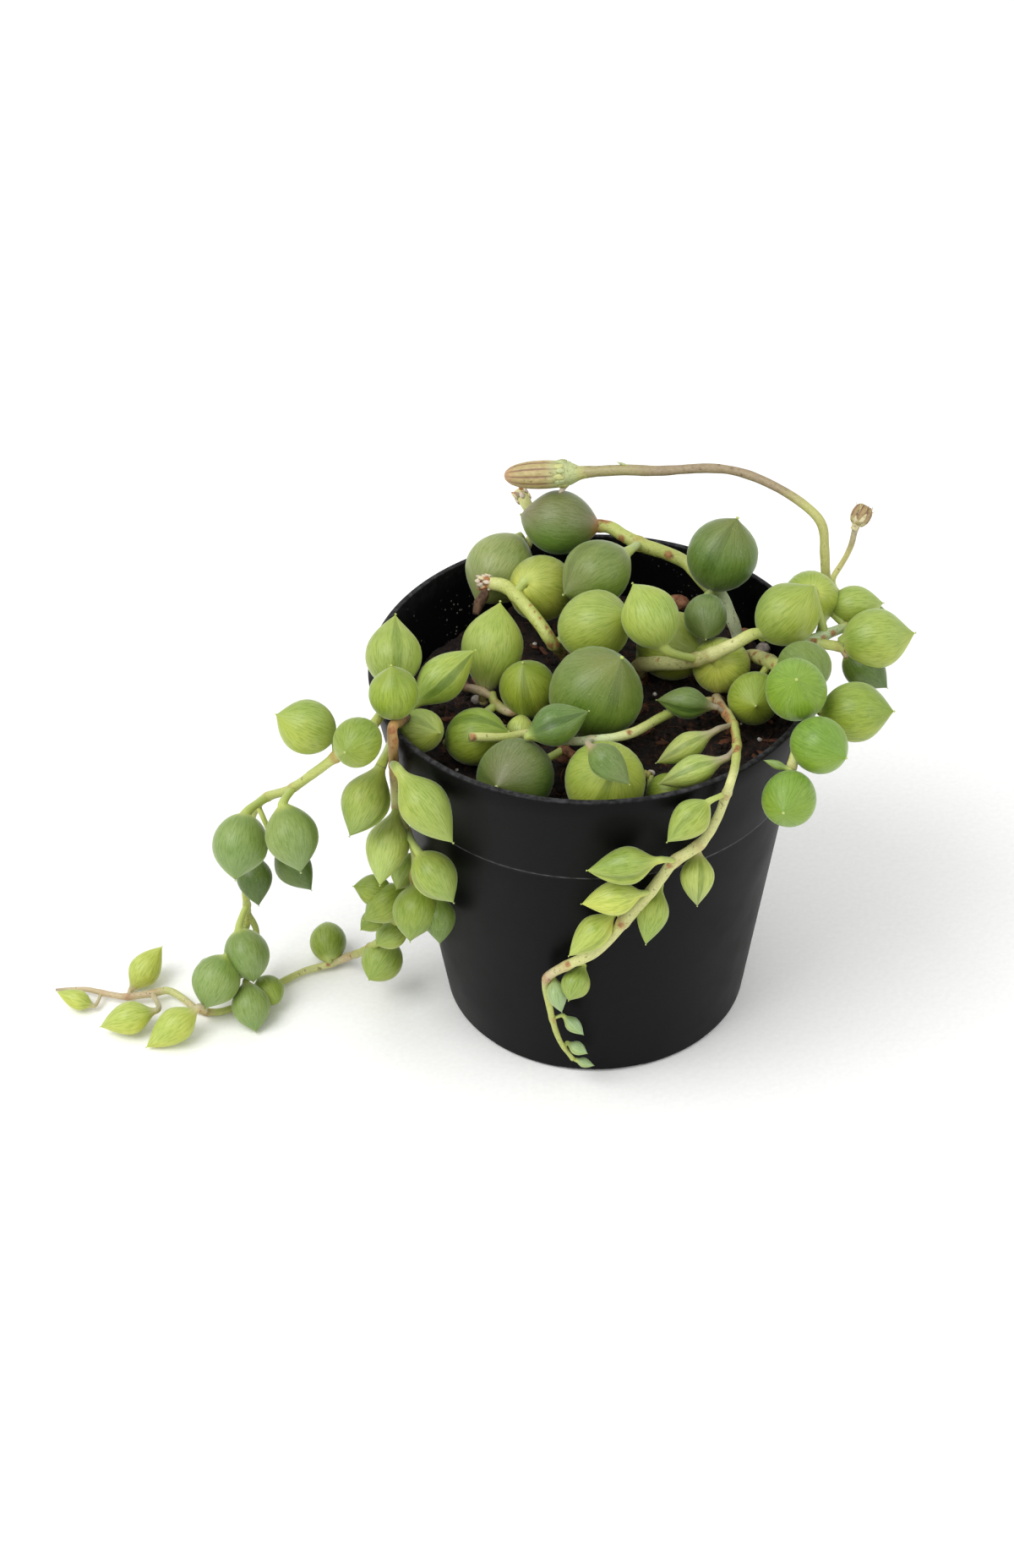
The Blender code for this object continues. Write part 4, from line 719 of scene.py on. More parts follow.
def leaf_frame(spec):
    """Centre, axis towards the tip, radius, and lengths to the tip and to the foot."""
    rough = rest_on(spec.x, spec.y, spec.rest, spec.lift if spec.rest == AIR else ROUGH_LIFT)
    radius = spec.radius * pixel_size(rough)
    lift = spec.lift if spec.rest == AIR else spec.lift + radius
    centre = rest_on(spec.x, spec.y, spec.rest, lift)
    size = pixel_size(centre)
    across, up = (spec.tip_x - spec.x) * size, (spec.y - spec.tip_y) * size
    flat = math.hypot(across, up)
    reach = max(radius * spec.slim, flat)
    depth = spec.facing * math.sqrt(max(reach * reach - flat * flat, 0.0))
    axis = (RIGHT * across + UP * up + BACK * depth) / reach
    return centre, axis, radius, reach, radius * spec.neck


# Surfaces

Skin = namedtuple("Skin", "points quads corners marks")


def smooth_route(points, radii, step):
    """Points of a Catmull-Rom curve through the given ones, about one step apart, and radii."""
    points, radii = np.array(points, dtype=float), np.array(radii, dtype=float)
    padded = np.vstack([2 * points[0] - points[1], points, 2 * points[-1] - points[-2]])
    route, width = [], []
    for k in range(len(points) - 1):
        before, start, end, after = padded[k:k + 4]
        count = max(1, round(np.linalg.norm(end - start) / step))
        t = (np.arange(count) / count)[:, None]
        route.append(0.5 * (2 * start + (end - before) * t
                            + (2 * before - 5 * start + 4 * end - after) * t ** 2
                            + (3 * start - before - 3 * end + after) * t ** 3))
        width.append(radii[k] + (radii[k + 1] - radii[k]) * t[:, 0])
    return np.vstack(route + [points[-1:]]), np.concatenate(width + [radii[-1:]])


def carried_sides(path, side):
    """Tangents of a path, and two directions across it carried along without twisting."""
    tangents = unit(np.gradient(path, axis=0))
    sides = np.empty_like(path)
    for k, tangent in enumerate(tangents):
        side = side - tangent * (side @ tangent)
        if np.linalg.norm(side) < NEARLY_ALONG:
            side = np.cross(tangent, ASKEW)
        side = side / np.linalg.norm(side)
        sides[k] = side
    return tangents, sides, np.cross(tangents, sides)


def even_angles(count):
    """Angles evenly round a full turn."""
    return np.linspace(0, 2 * math.pi, count, endpoint=False)


def around(sides, others, angle):
    """Directions across a path: side cos a + other sin a, with a row for each ring."""
    return (sides[:, None] * np.cos(angle)[None, :, None]
            + others[:, None] * np.sin(angle)[None, :, None])


def spoke(foot, axis, share):
    """The direction across an axis at a share of a full turn from the side that the viewer sees."""
    _, side, other = carried_sides(np.array([foot, foot + axis]), BACK)
    turn = 2 * math.pi * share
    return side[0] * math.cos(turn) + other[0] * math.sin(turn)


def ring_faces(rings, count):
    """Quads between rings, and triangles that close both ends on the two points after them."""
    at = np.arange(rings * count).reshape(rings, count)
    after = np.roll(at, -1, axis=1)
    quads = np.stack([at[:-1], after[:-1], after[1:], at[1:]], -1).reshape(-1, 4)
    foot = np.stack([after[0], at[0], np.full(count, rings * count)], -1)
    tip = np.stack([at[-1], after[-1], np.full(count, rings * count + 1)], -1)
    return quads, np.vstack([foot, tip])


def ring_skin(path, radius, sides, others, marks, angle=None):
    """Closed tube: each ring is path + radius (side cos a + other sin a), ends drawn to a point.

    radius has one row for each ring and one column for each angle a; these are even if not given.
    """
    rings, count = radius.shape
    angle = even_angles(count) if angle is None else angle
    points = (path[:, None] + radius[:, :, None] * around(sides, others, angle)).reshape(-1, 3)
    points = np.vstack([points, path[:1], path[-1:]])
    kept = {}
    for name, values in marks.items():
        flat = values.reshape(rings * count, -1)
        ends = [values[0].reshape(count, -1).mean(0), values[-1].reshape(count, -1).mean(0)]
        kept[name] = np.vstack([flat, *ends])
    return Skin(points, *ring_faces(rings, count), kept)


def rind_marks(tint, woody, angle, spread, along):
    """What the rind reads: its tint, how woody it is from 0 to 1, and lines along the tube.

    The lines are read on a tube of radius spread, at the length along it.
    """
    flat = 0 * along
    lines = np.stack([spread * np.cos(angle) + flat, spread * np.sin(angle) + flat, along], -1)
    return {"tint": tint + flat[..., None], "bark": (woody + flat)[..., None], "lines": lines}


def put_together(name, skins, material, replaced=(), smooth=True):
    """One mesh object from closed skins, in metres, riding on the root."""
    points = np.vstack([skin.points for skin in skins]) * MM
    starts = np.cumsum([0] + [len(skin.points) for skin in skins[:-1]])
    quads = np.vstack([skin.quads + start for skin, start in zip(skins, starts)])
    corners = np.vstack([skin.corners + start for skin, start in zip(skins, starts)])
    mesh = bpy.data.meshes.new(name)
    mesh.vertices.add(len(points))
    mesh.vertices.foreach_set("co", points.ravel())
    loops = np.concatenate([quads.ravel(), corners.ravel()])
    sizes = np.concatenate([np.full(len(quads), 4), np.full(len(corners), 3)])
    mesh.loops.add(len(loops))
    mesh.loops.foreach_set("vertex_index", loops.astype(np.int32))
    mesh.polygons.add(len(sizes))
    mesh.polygons.foreach_set("loop_start", (np.cumsum(sizes) - sizes).astype(np.int32))
    mesh.update(calc_edges=True)
    for mark in skins[0].marks:
        values = np.vstack([skin.marks[mark] for skin in skins])
        kind, field = {1: ("FLOAT", "value"), 3: ("FLOAT_VECTOR", "vector"),
                       4: ("FLOAT_COLOR", "color")}[values.shape[1]]
        attribute = mesh.attributes.new(mark, kind, "POINT")
        attribute.data.foreach_set(field, values.astype(np.float32).ravel())
    if smooth:
        mesh.shade_smooth()
    if mesh.validate():
        raise RuntimeError(f"{name} has faces that don't close")
    piece = bpy.data.objects.new(name, mesh)
    bpy.context.scene.collection.objects.link(piece)
    mesh.materials.append(material)
    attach(piece, "root")
    if replaced:
        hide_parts(*replaced)
    return piece


def lattice(rng):
    """Random values from 0 to 1 on a square grid."""
    return rng.random((LATTICE, LATTICE))


def uneven(x, y, values, cell):
    """Smooth noise from 0 to 1: grid values a cell apart, blended with a smooth step."""
    u, v = x / cell, y / cell
    left, low = np.floor(u).astype(int), np.floor(v).astype(int)
    s, t = u - left, v - low
    s, t = s * s * (3 - 2 * s), t * t * (3 - 2 * t)
    right, high = (left + 1) % LATTICE, (low + 1) % LATTICE
    left, low = left % LATTICE, low % LATTICE
    bottom = values[left, low] * (1 - s) + values[right, low] * s
    top = values[left, high] * (1 - s) + values[right, high] * s
    return bottom * (1 - t) + top * t


def mixed(first, second, share):
    """Colours blended by share, which has one value for each colour."""
    return first * (1 - share[..., None]) + second * share[..., None]


def eased(value, low, high):
    """0 below low, 1 above high and a smooth step between."""
    t = np.clip((value - low) / (high - low), 0, 1)
    return t * t * (3 - 2 * t)


def shade(tone):
    """A named plant colour as four linear numbers."""
    return np.array([*linear(TONES[tone]), 1.0])


# Stems and leaves

def row_tones(rows):
    """Colour and woodiness at each row; a row without a tone keeps the last one's."""
    names, tone = [], None
    for row in rows:
        tone = row[5] if len(row) > 5 else tone
        names.append(tone)
    return np.array([shade(name) for name in names]), np.array([WOODY.get(name, 0.0) for name in names])


def stem_route(rows):
    """The stem's line, its radius, and where along it each row stands, by number of points."""
    places, widths = [rest_on(*row[:4]) for row in rows], [row[4] for row in rows]
    route, width = smooth_route(places, widths, STEP)
    at = [int(np.argmin(np.linalg.norm(route - place, axis=1))) for place in places]
    return route, width, at


def seen_on(route, width, x, y):
    """The point of a stem's surface that a pixel shows."""
    way = unit(from_photo(x, y, 0.0) - EYE)
    far = (route - EYE) @ way
    beside = np.linalg.norm(route - EYE - far[:, None] * way, axis=1)
    nearest = int(np.argmin(beside))
    tangent = unit(route[min(nearest + 1, len(route) - 1)] - route[max(nearest - 1, 0)])
    slant = max(float(np.linalg.norm(np.cross(way, tangent))), LEAST_SLANT)
    rise = math.sqrt(max(width[nearest] ** 2 - beside[nearest] ** 2, 0.0)) / slant
    return EYE + way * (far[nearest] - rise)


def joint_on(spec, route):
    """Which point of a stem's line a leaf's stalk leaves from."""
    centre, axis, _, _, foot = leaf_frame(spec)
    place = seen_on(route, np.zeros(len(route)), *spec.joint) if spec.joint else centre - axis * foot
    return np.argmin(np.linalg.norm(route - place, axis=1))


def stem_skin(rows, line, joints, settings, rng, root=False, scars=()):
    """A stem: a round tube, swollen and scarred at the joints, that takes its rows' tones.

    Its radius is the rows' width times an even share, one from smooth knots and one from a bell
    exp(-d^2) round each joint. A root runs on down into the soil. Each scar darkens the skin near
    the point that its pixel shows.
    """
    route, width, at = line
    patches = [(seen_on(route, width, x, y), size) for x, y, size in scars]
    colours, woody = row_tones(rows)
    spot = np.arange(len(route), dtype=float)
    tint = np.stack([np.interp(spot, at, colours[:, k]) for k in range(4)], -1)
    bark = np.interp(spot, at, woody)
    swell = np.zeros(len(route))
    for joint in joints:
        bell = np.exp(-((spot - joint) * STEP / SWELL_LENGTH) ** 2)
        swell = np.maximum(swell, (0.5 + 0.5 * rng.random()) * bell)
    if root:
        drops = np.array(ROOT_DROPS)
        route = np.vstack([route[0] - np.array([0.0, 0.0, 1.0]) * drops[:, None], route])
        width, swell, bark = (np.concatenate([np.full(len(drops), values[0]), values])
                              for values in (width, swell, bark))
        tint = np.vstack([np.repeat(tint[:1], len(drops), 0), tint])
    _, sides, others = carried_sides(route, BACK)
    angle = even_angles(settings.stem_sides)
    long = (np.arange(len(route)) * STEP)[:, None] + 0 * angle
    knots = uneven(long + KNOT_START * rng.random(), LINE_SPREAD * np.cos(angle) + KNOT_ROW + 0 * long,
                   lattice(rng), KNOT_LENGTH)
    radius = width[:, None] * (EVEN_WIDTH + KNOT_WIDTH * knots + SWELL_WIDTH * swell[:, None])
    scar = JOINT_SCAR * swell[:, None] * eased(knots, 0.35, 0.75)
    skin = route[:, None] + radius[..., None] * around(sides, others, angle)
    for place, size in patches:
        away = np.linalg.norm(skin - place, axis=-1) / size
        scar = np.maximum(scar, eased(1.0 - away + SCAR_RAGGED * (knots - 0.5), 0.0, SCAR_SOFT))
    tint = mixed(tint[:, None], shade("scar"), SCAR_TINT * scar)
    marks = rind_marks(tint, np.clip(bark[:, None] + SCAR_CORK * scar, 0, 1), angle, LINE_SPREAD,
                       STEM_LINE_STRETCH * long + LINE_START * rng.random())
    return ring_skin(route, radius, sides, others, marks)


def end_powers(length, stops):
    """The two powers of an end's profile for its length in radii, read between the stops."""
    lengths, first, second = zip(*stops)
    return float(np.interp(length, lengths, first)), float(np.interp(length, lengths, second))


def leaf_profile(way, lead, radius, reach, foot, stalk_radius):
    """Each ring's radius: the leaf's bulk, its stalk and the point on its tip, added as squares.

    The bulk is R (1 - q^a)^b, where q is the share of the way from its centre to that end, and a
    and b go from a ball's to a drawn-out end's with its length. The stalk fades out in the leaf.
    """
    low, high = np.maximum(-way, 0), np.maximum(way, 0)
    foot_a, foot_b = end_powers(foot / radius, FOOT_POWERS)
    tip_a, tip_b = end_powers(reach / radius, TIP_POWERS)
    bulk = radius * np.where(way < 0, (1 - low ** foot_a) ** foot_b, (1 - high ** tip_a) ** tip_b)
    bare = len(lead) - len(way) - len(NIB_REACHES)
    bulk = np.concatenate([np.zeros(bare), bulk, np.zeros(len(NIB_REACHES))])
    flare = 1 + STALK_FLARE * eased(lead, -1.5, -0.95)
    stalk = np.where(lead < 0, stalk_radius * flare, 0.0) * (1 - STALK_FADE * eased(lead, -0.9, -0.2))
    nib = radius * NIB_RADIUS * np.concatenate([np.zeros(len(lead) - len(NIB_WIDTHS)), NIB_WIDTHS])
    return (bulk ** 2 + stalk ** 2 + nib ** 2) ** 0.5


def leaf_tint(spec, lead, up, light):
    """A leaf's tone, blushed towards its ends, with its stalk's tone at the foot and a pale tip.

    up goes from 0 on the lower side, which is warmer, and darker as painted shade where the leaf is
    blushed, to 1 on the upper side, which is bluer, partly for its thicker wax and partly as a painted
    reflection of the light above.
    """
    ends = TIP_BLUSH * eased(lead, 0.2, 0.98) + FOOT_BLUSH * (1 - eased(lead, -0.95, -0.35))
    tint = mixed(shade(spec.tone) * [light, light, light, 1], shade("blush"), spec.blush * ends)
    stalk_end = 0.45 * min(spec.neck, 2.4) - 1.3
    tint = mixed(tint, shade(spec.stalk), 1 - eased(lead, -1.02, stalk_end))
    tint = mixed(tint, shade("tip"), TIP_PALENESS * eased(lead, 0.972, 1.0))
    above, on_leaf = up[..., None], (lead > -1)[:, None]
    # Bluer above and warmer below: partly thicker wax on top, partly painted light
    tint = tint[:, None] * (LOWER_TINT * (1 - above) + UPPER_TINT * above)
    # Painted shade: the lower side of a blushed leaf is darker
    tint = tint * (1 - spec.blush * (1 - above) * PAINTED_SHADE_BELOW * on_leaf[..., None])
    return mixed(tint, shade("blush"), TOP_BLUSH * spec.blush * up ** 2 * on_leaf)


def leaf_skin(spec, route, settings, rng):
    """A leaf on its stalk, from the stem to the tip, in rings whose lead is -2 at the stem, -1 at
    the foot, 0 at the bulk's centre and 1 at the tip.

    The stalk is a cubic curve that comes into the foot along the leaf's axis, and the tip is
    hooked to one side by the cube of the lead. The clear stripe is sunk by a bell exp(-d^2) of
    the angle from it, and deeper on a folded leaf.
    """
    centre, axis, radius, reach, foot = leaf_frame(spec)
    target = route[joint_on(spec, route)]
    base = centre - axis * foot * STALK_MEETS
    length = np.linalg.norm(target - base)
    stalk_share = JOINED_STALK if spec.joint else STALK
    stalk_radius = max(STALK_LEAST, min(STALK_MOST, radius * stalk_share))
    share = np.linspace(0, 1, settings.stalk_rings)[:, None]
    bend = min(STALK_BEND * length, BEND_RADII * radius)
    stalk = (target * (1 + 2 * share) * (1 - share) ** 2 + base * share ** 2 * (3 - 2 * share)
             + (base - target) * STALK_BEND * share * (1 - share) ** 2
             + axis * bend * share ** 2 * (share - 1))
    way = np.sin(np.linspace(FIRST_RING * math.pi, 0.5 * math.pi, settings.leaf_rings))
    along = np.where(way < 0, way * foot, way * reach)
    body = centre + axis * np.concatenate([along, np.array(NIB_REACHES) * reach])[:, None]
    bare = len(stalk) - 1
    lead = np.concatenate([np.linspace(-2, -1, bare + 1)[:-1], way, [1.0, 1.0]])
    ring = leaf_profile(way, lead, radius, reach, foot, stalk_radius)

    toward = unit(EYE - centre)
    side = unit(toward - axis * (toward @ axis))
    stripe = math.radians(spec.line)
    side = side * math.cos(stripe) + np.cross(axis, side) * math.sin(stripe)
    hook = (math.cos(rng.random() * TURN_SPREAD) * side
            + math.sin(rng.random() * TURN_SPREAD) * np.cross(axis, side))
    past = np.concatenate([np.maximum(way, 0), [1.0, 1.0]])
    body = body + hook * (HOOK * radius * past ** 3)[:, None]
    path = np.vstack([stalk[:-1], body])
    tangents, sides, _ = carried_sides(path[::-1], side)
    tangents, sides = tangents[::-1], sides[::-1]
    others = np.cross(-tangents, sides)

    even = even_angles(settings.leaf_sides)
    angle = even - STRIPE_CROWDING * np.sin(even) * (spec.clear > 0)
    off = np.minimum(angle, 2 * math.pi - angle)
    width = settings.stripe_width
    in_body = (eased(lead, -0.9, -0.3) * (1 - eased(lead, 0.86, 1.0)))[:, None]
    sunk = spec.clear * settings.stripe_depth * np.exp(-(off / width) ** 2)
    fold = spec.pinch * (np.exp(-(off / (FOLD_WIDTH * width)) ** 2)
                         + WIDE_FOLD * np.exp(-(off / WIDE_FOLD_WIDTH) ** 2))
    squash = (1 + OVAL * np.cos(2 * angle + rng.random() * TURN_SPREAD)
              + THREE_SIDED * np.cos(3 * angle + rng.random() * TURN_SPREAD))
    radii = ring[:, None] * (squash - in_body * (sunk + fold))

    light = DARKEST_LEAF + LEAF_SPREAD * rng.random()
    up = around(sides, others, angle)[..., 2] + 0.5 * tangents[:, 2:] * lead[:, None]
    flat = 0 * angle + 0 * lead[:, None]
    on_axis = np.concatenate([np.linspace(-1, 0, bare + 1)[:-1] * length - foot, along, [reach, reach]])
    line = on_axis[:, None] * LEAF_LINE_STRETCH + flat + LINE_START * rng.random()
    marks = {
        "tint": leaf_tint(spec, lead, eased(up, -0.5, 1.0), light),
        "window": np.stack([off / width + flat, spec.clear * in_body + flat, flat], -1),
        "lines": np.stack([radius * np.cos(angle) + flat, radius * np.sin(angle) + flat, line], -1),
    }
    return ring_skin(path, radii, sides, others, marks, angle)


def scale_skin(place, way, lean, length, width, tone):
    """A small pointed scale: a flat drop that curves outward, sin(pi s) wide along its length."""
    s = np.linspace(0.02, 1, SCALE_RINGS)
    path = place + way * (length * s)[:, None] + lean * (0.35 * length * s ** 2)[:, None]
    _, sides, others = carried_sides(path, lean)
    angle = even_angles(SCALE_SIDES)
    flat = np.hypot(SCALE_THICKNESS * np.cos(angle), np.sin(angle))
    breadth = width * np.sin(math.pi * (0.18 + 0.8 * s))
    marks = rind_marks(shade(tone), 0.2, angle, 1, s[:, None] + 0 * angle)
    return ring_skin(path, breadth[:, None] * flat, sides, others, marks)


def shreds(place, way, radius, rng):
    """Torn fibres round a broken stem's end, in two rounds."""
    torn = []
    for k in range(2 * SHREDS_ROUND):
        out = spoke(place, way, k / SHREDS_ROUND)
        start = place - way * (0.4 + 2.6 * rng.random()) + out * radius * 0.9
        torn.append(scale_skin(start, unit(way + 0.4 * out), out * (rng.random() - 0.6),
                               0.9 + 0.9 * rng.random(), 0.5, SHRED_TONES[k % len(SHRED_TONES)]))
    return torn


def build_strand(name, plan, settings, materials):
    """The stems of one strand as one piece and its leaves as another, in the solid's place.

    Leaves and scars belong to the stem whose line is nearest, where it is out of the soil.
    """
    rng = np.random.default_rng(sum(ord(letter) * (k + 3) for k, letter in enumerate(name)))
    lines = [stem_route(rows) for rows in plan["stems"]]
    owner = np.concatenate([np.full(len(route), k) for k, (route, _, _) in enumerate(lines)])
    number = np.concatenate([np.arange(len(route)) for route, _, _ in lines])
    places = np.vstack([route for route, _, _ in lines])
    reach = np.hypot(places[:, 0], places[:, 1])
    wall = np.interp(places[:, 2], WALL_HEIGHTS, [BASE_RADIUS, BAND_RADIUS, RIM_RADIUS])
    clear = (places[:, 2] > SOIL_HEIGHT + SOIL_MARGIN) | (reach > wall)
    owner, number, places = owner[clear], number[clear], places[clear]
    joints = [[] for _ in lines]
    for spec in plan["leaves"]:
        nearest = joint_on(spec, places)
        joints[owner[nearest]].append(number[nearest])
    own = [[] for _ in lines]
    for scar in SCARS[name]:
        place = seen_on(places, np.zeros(len(places)), *scar[:2])
        own[owner[np.argmin(np.linalg.norm(places - place, axis=1))]].append(scar)
    stems = [stem_skin(rows, line, joints[k], settings, rng, k == 0, own[k])
             for k, (rows, line) in enumerate(zip(plan["stems"], lines))]
    for rows, (route, width, _) in zip(plan["stems"], lines):
        if rows[-1][-1] in ("shred", "cream"):
            stems += shreds(route[-1], unit(route[-1] - route[-3]), width[-1], rng)
    put_together(name + "_stems", stems, materials["rind"], (name,))
    leaves = [leaf_skin(spec, places, settings, rng) for spec in plan["leaves"]]
    put_together(name + "_leaves", leaves, materials["skin"], (name,))


# Buds and their stalks

def axis_skin(foot, axis, profile, count, paint, folds=0, depth=0.0, blunt=0.45):
    """Round body along an axis from (distance, radius) rows; ribs rise as |cos(n a / 2)|^blunt.

    paint takes each point's distance along the axis and its rib's height, and gives its tint, how
    woody it is and the length at which it reads the lines.
    """
    profile = np.array(profile, dtype=float)
    path = foot + axis * profile[:, :1]
    _, sides, others = carried_sides(path, BACK)
    angle = even_angles(count)
    ridge = np.abs(np.cos(folds * angle / 2)) ** blunt - LEVEL_RIDGE if folds else 0 * angle
    radius = profile[:, 1:2] * (1 + depth * ridge)
    flat = np.zeros((len(profile), count))
    tint, woody, lines = paint(profile[:, :1] + flat, ridge + flat)
    return ring_skin(path, radius, sides, others, rind_marks(tint, woody, angle, LINE_SPREAD, lines))


def build_flower(settings, materials, rng):
    """The long stalk with its green cup and scales, and the ribbed bud in it."""
    foot, tip = from_photo(*FLOWER_BUD[0]), from_photo(*FLOWER_BUD[1])
    radius = FLOWER_BUD[2]
    axis = unit(tip - foot)
    length = np.linalg.norm(tip - foot)
    bud_length = length - CUP_LENGTH

    def paint_cup(along, ridge):
        tint = mixed(shade("stalk_green"), shade("calyx"), eased(along, -1.6, 0.4))
        return tint, 0.1, 0.4 * along

    def paint_bud(along, ridge):
        share = (along - CUP_LENGTH) / bud_length
        tint = mixed(shade("bud_groove"), shade("bud_rib"), np.clip(ridge * 3.0 + 0.35, 0, 1))
        tint = mixed(tint, shade("calyx"), 0.75 * (1 - eased(share, 0.0, 0.3)))
        tint = mixed(tint, shade("bud_tip"), 0.75 * eased(share, 0.72, 1.0))
        return tint, 0.15, 2 * share

    cup = axis_skin(foot, axis, CUP, 40, paint_cup, 9, 0.07)
    stalk = stem_skin(FLOWER_STALK, stem_route(FLOWER_STALK), [], settings, rng)
    scales = []
    for k in range(INNER_SCALES):
        out = spoke(foot, axis, (k + 0.35 * rng.random()) / INNER_SCALES)
        start = foot + axis * (0.7 + 0.8 * rng.random()) + out * 2.15
        scales.append(scale_skin(start, unit(axis + 0.1 * out), -out * 0.25, 2.6 + 0.9 * rng.random(),
                                 0.78, "calyx" if k % 3 else "pale_rind"))
    for k in range(OUTER_SCALES):
        out = spoke(foot, axis, (k + 0.4 * rng.random()) / OUTER_SCALES)
        start = foot + axis * (1.5 + 0.5 * rng.random()) + out * 2.55
        scales.append(scale_skin(start, unit(axis + 0.1 * out), -out * 0.12, 1.9 + 0.8 * rng.random(),
                                 0.72, OUTER_TONES[k % len(OUTER_TONES)]))
    down = unit(from_photo(658, 588, 98.2) - from_photo(671, 571, 101.5))
    scales.append(scale_skin(from_photo(672, 570, 101.9), down, -BACK * 0.1, 3.4, 0.62, "shred"))
    nick = from_photo(744, 551, 105.9)
    scales.append(scale_skin(nick, unit(from_photo(730, 548, 106.2) - nick), UP * 0.3, 2.6, 0.5, "calyx"))
    put_together("flower_stalk_rind", [stalk, cup, *scales], materials["rind"],
                 ("flower_stalk",))
    rows = np.stack([CUP_LENGTH + bud_length * BUD_SHARES, radius * BUD_WIDTHS], -1)
    bud = axis_skin(foot, axis, rows, 132, paint_bud, 11, 0.06)
    put_together("flower_bud_ribs", [bud], materials["rind"], ("flower_bud",))


def build_small_bud(settings, materials, rng):
    """The thin stalk, and the dry bud on it in its collar, with scales and cream bracts."""
    thin = stem_skin(BUD_STALK, stem_route(BUD_STALK), [], settings, rng)
    put_together("bud_stalk_rind", [thin], materials["rind"], ("bud_stalk",))
    foot, tip = from_photo(*SMALL_BUD[0]), from_photo(*SMALL_BUD[1])
    radius = SMALL_BUD[2]
    axis = unit(tip - foot)
    length = np.linalg.norm(tip - foot)

    def paint(along, ridge):
        tint = mixed(shade("bud_groove"), shade("dry_bud"), np.clip(ridge * 2.2 + 0.5, 0, 1))
        return mixed(tint, shade("cream"), 1 - eased(along, 0.2, 1.0)), 0.3, along

    rows = np.stack([length * DRY_SHARES, radius * DRY_WIDTHS], -1)
    parts = [axis_skin(foot, axis, rows, 64, paint, 8, 0.14, 0.8),
             axis_skin(foot, axis, COLLAR, 24, paint)]
    for k in range(DRY_SCALES):
        out = spoke(foot, axis, (k + 0.4 * rng.random()) / DRY_SCALES)
        start = foot + axis * length * (0.1 + 0.12 * rng.random()) + out * radius * 0.72
        way = unit(axis + out * (0.1 + 0.25 * rng.random()))
        parts.append(scale_skin(start, way, -out * 0.7, length * (0.6 + 0.4 * rng.random()), 0.26,
                                DRY_TONES[k % len(DRY_TONES)]))
        parts.append(scale_skin(foot - axis * 0.25 + out * 0.85, unit(axis * 0.8 + out),
                                axis * 0.7 - out * 0.3, 1.1 + 0.7 * rng.random(), 0.5,
                                "cream" if k % 2 else "bud_rib"))
    for k in range(TIP_SCALES):
        out = spoke(foot, axis, (k + 0.5) / TIP_SCALES)
        start = foot + axis * length * 0.7 + out * radius * 0.8
        parts.append(scale_skin(start, unit(axis + out * 0.6), out * 0.9, 1.3, 0.1, "cream"))
    front = unit(unit(EYE - foot) + 0.25 * RIGHT)
    start = foot + axis * 0.1 + front * radius * 0.86
    parts.append(scale_skin(start, unit(axis + 0.25 * RIGHT), front * 0.1, 0.55 * length, 0.55, "cream"))
    put_together("small_bud_scales", parts, materials["rind"], ("small_bud",))


# Soil and what lies in it

def lump_skin(centre, radii, turn, rng, rings, count, rough):
    """A small rough grain: a ball of few faces, its points moved in and out at random."""
    lat = np.linspace(-math.pi / 2, math.pi / 2, rings + 2)[1:-1]
    angle = even_angles(count)
    ball = np.stack([np.cos(lat)[:, None] * np.cos(angle), np.cos(lat)[:, None] * np.sin(angle),
                     np.sin(lat)[:, None] + 0 * angle], -1).reshape(-1, 3)
    ball = np.vstack([ball, [[0, 0, -1], [0, 0, 1]]])
    ball *= (1 - rough / 2 + rough * rng.random((len(ball), 1)))
    return Skin((ball * radii) @ turn.T + centre, *ring_faces(rings, count), {})


def random_turn(rng, lean):
    """A turn about Z by any angle, then a lean of up to that many radians."""
    yaw = Matrix.Rotation(rng.random() * 2 * math.pi, 3, "Z")
    return np.array(yaw @ Matrix.Rotation((rng.random() - 0.5) * 2 * lean, 3, "X"))


def soil_top(x, y, waves, roots):
    """Crumbly top: the soil's height and three scales of noise, with a dip round each stem."""
    height = soil_height(x, y)
    for values, cell, size in waves:
        height = height + (uneven(x + GRID_SHIFT, y + GRID_SHIFT, values, cell) - 0.5) * size
    for place, radius in roots:
        near = ((x - place[0]) ** 2 + (y - place[1]) ** 2) / (radius + DIP_MARGIN) ** 2
        height = height - DIP * np.exp(-near)
    return height


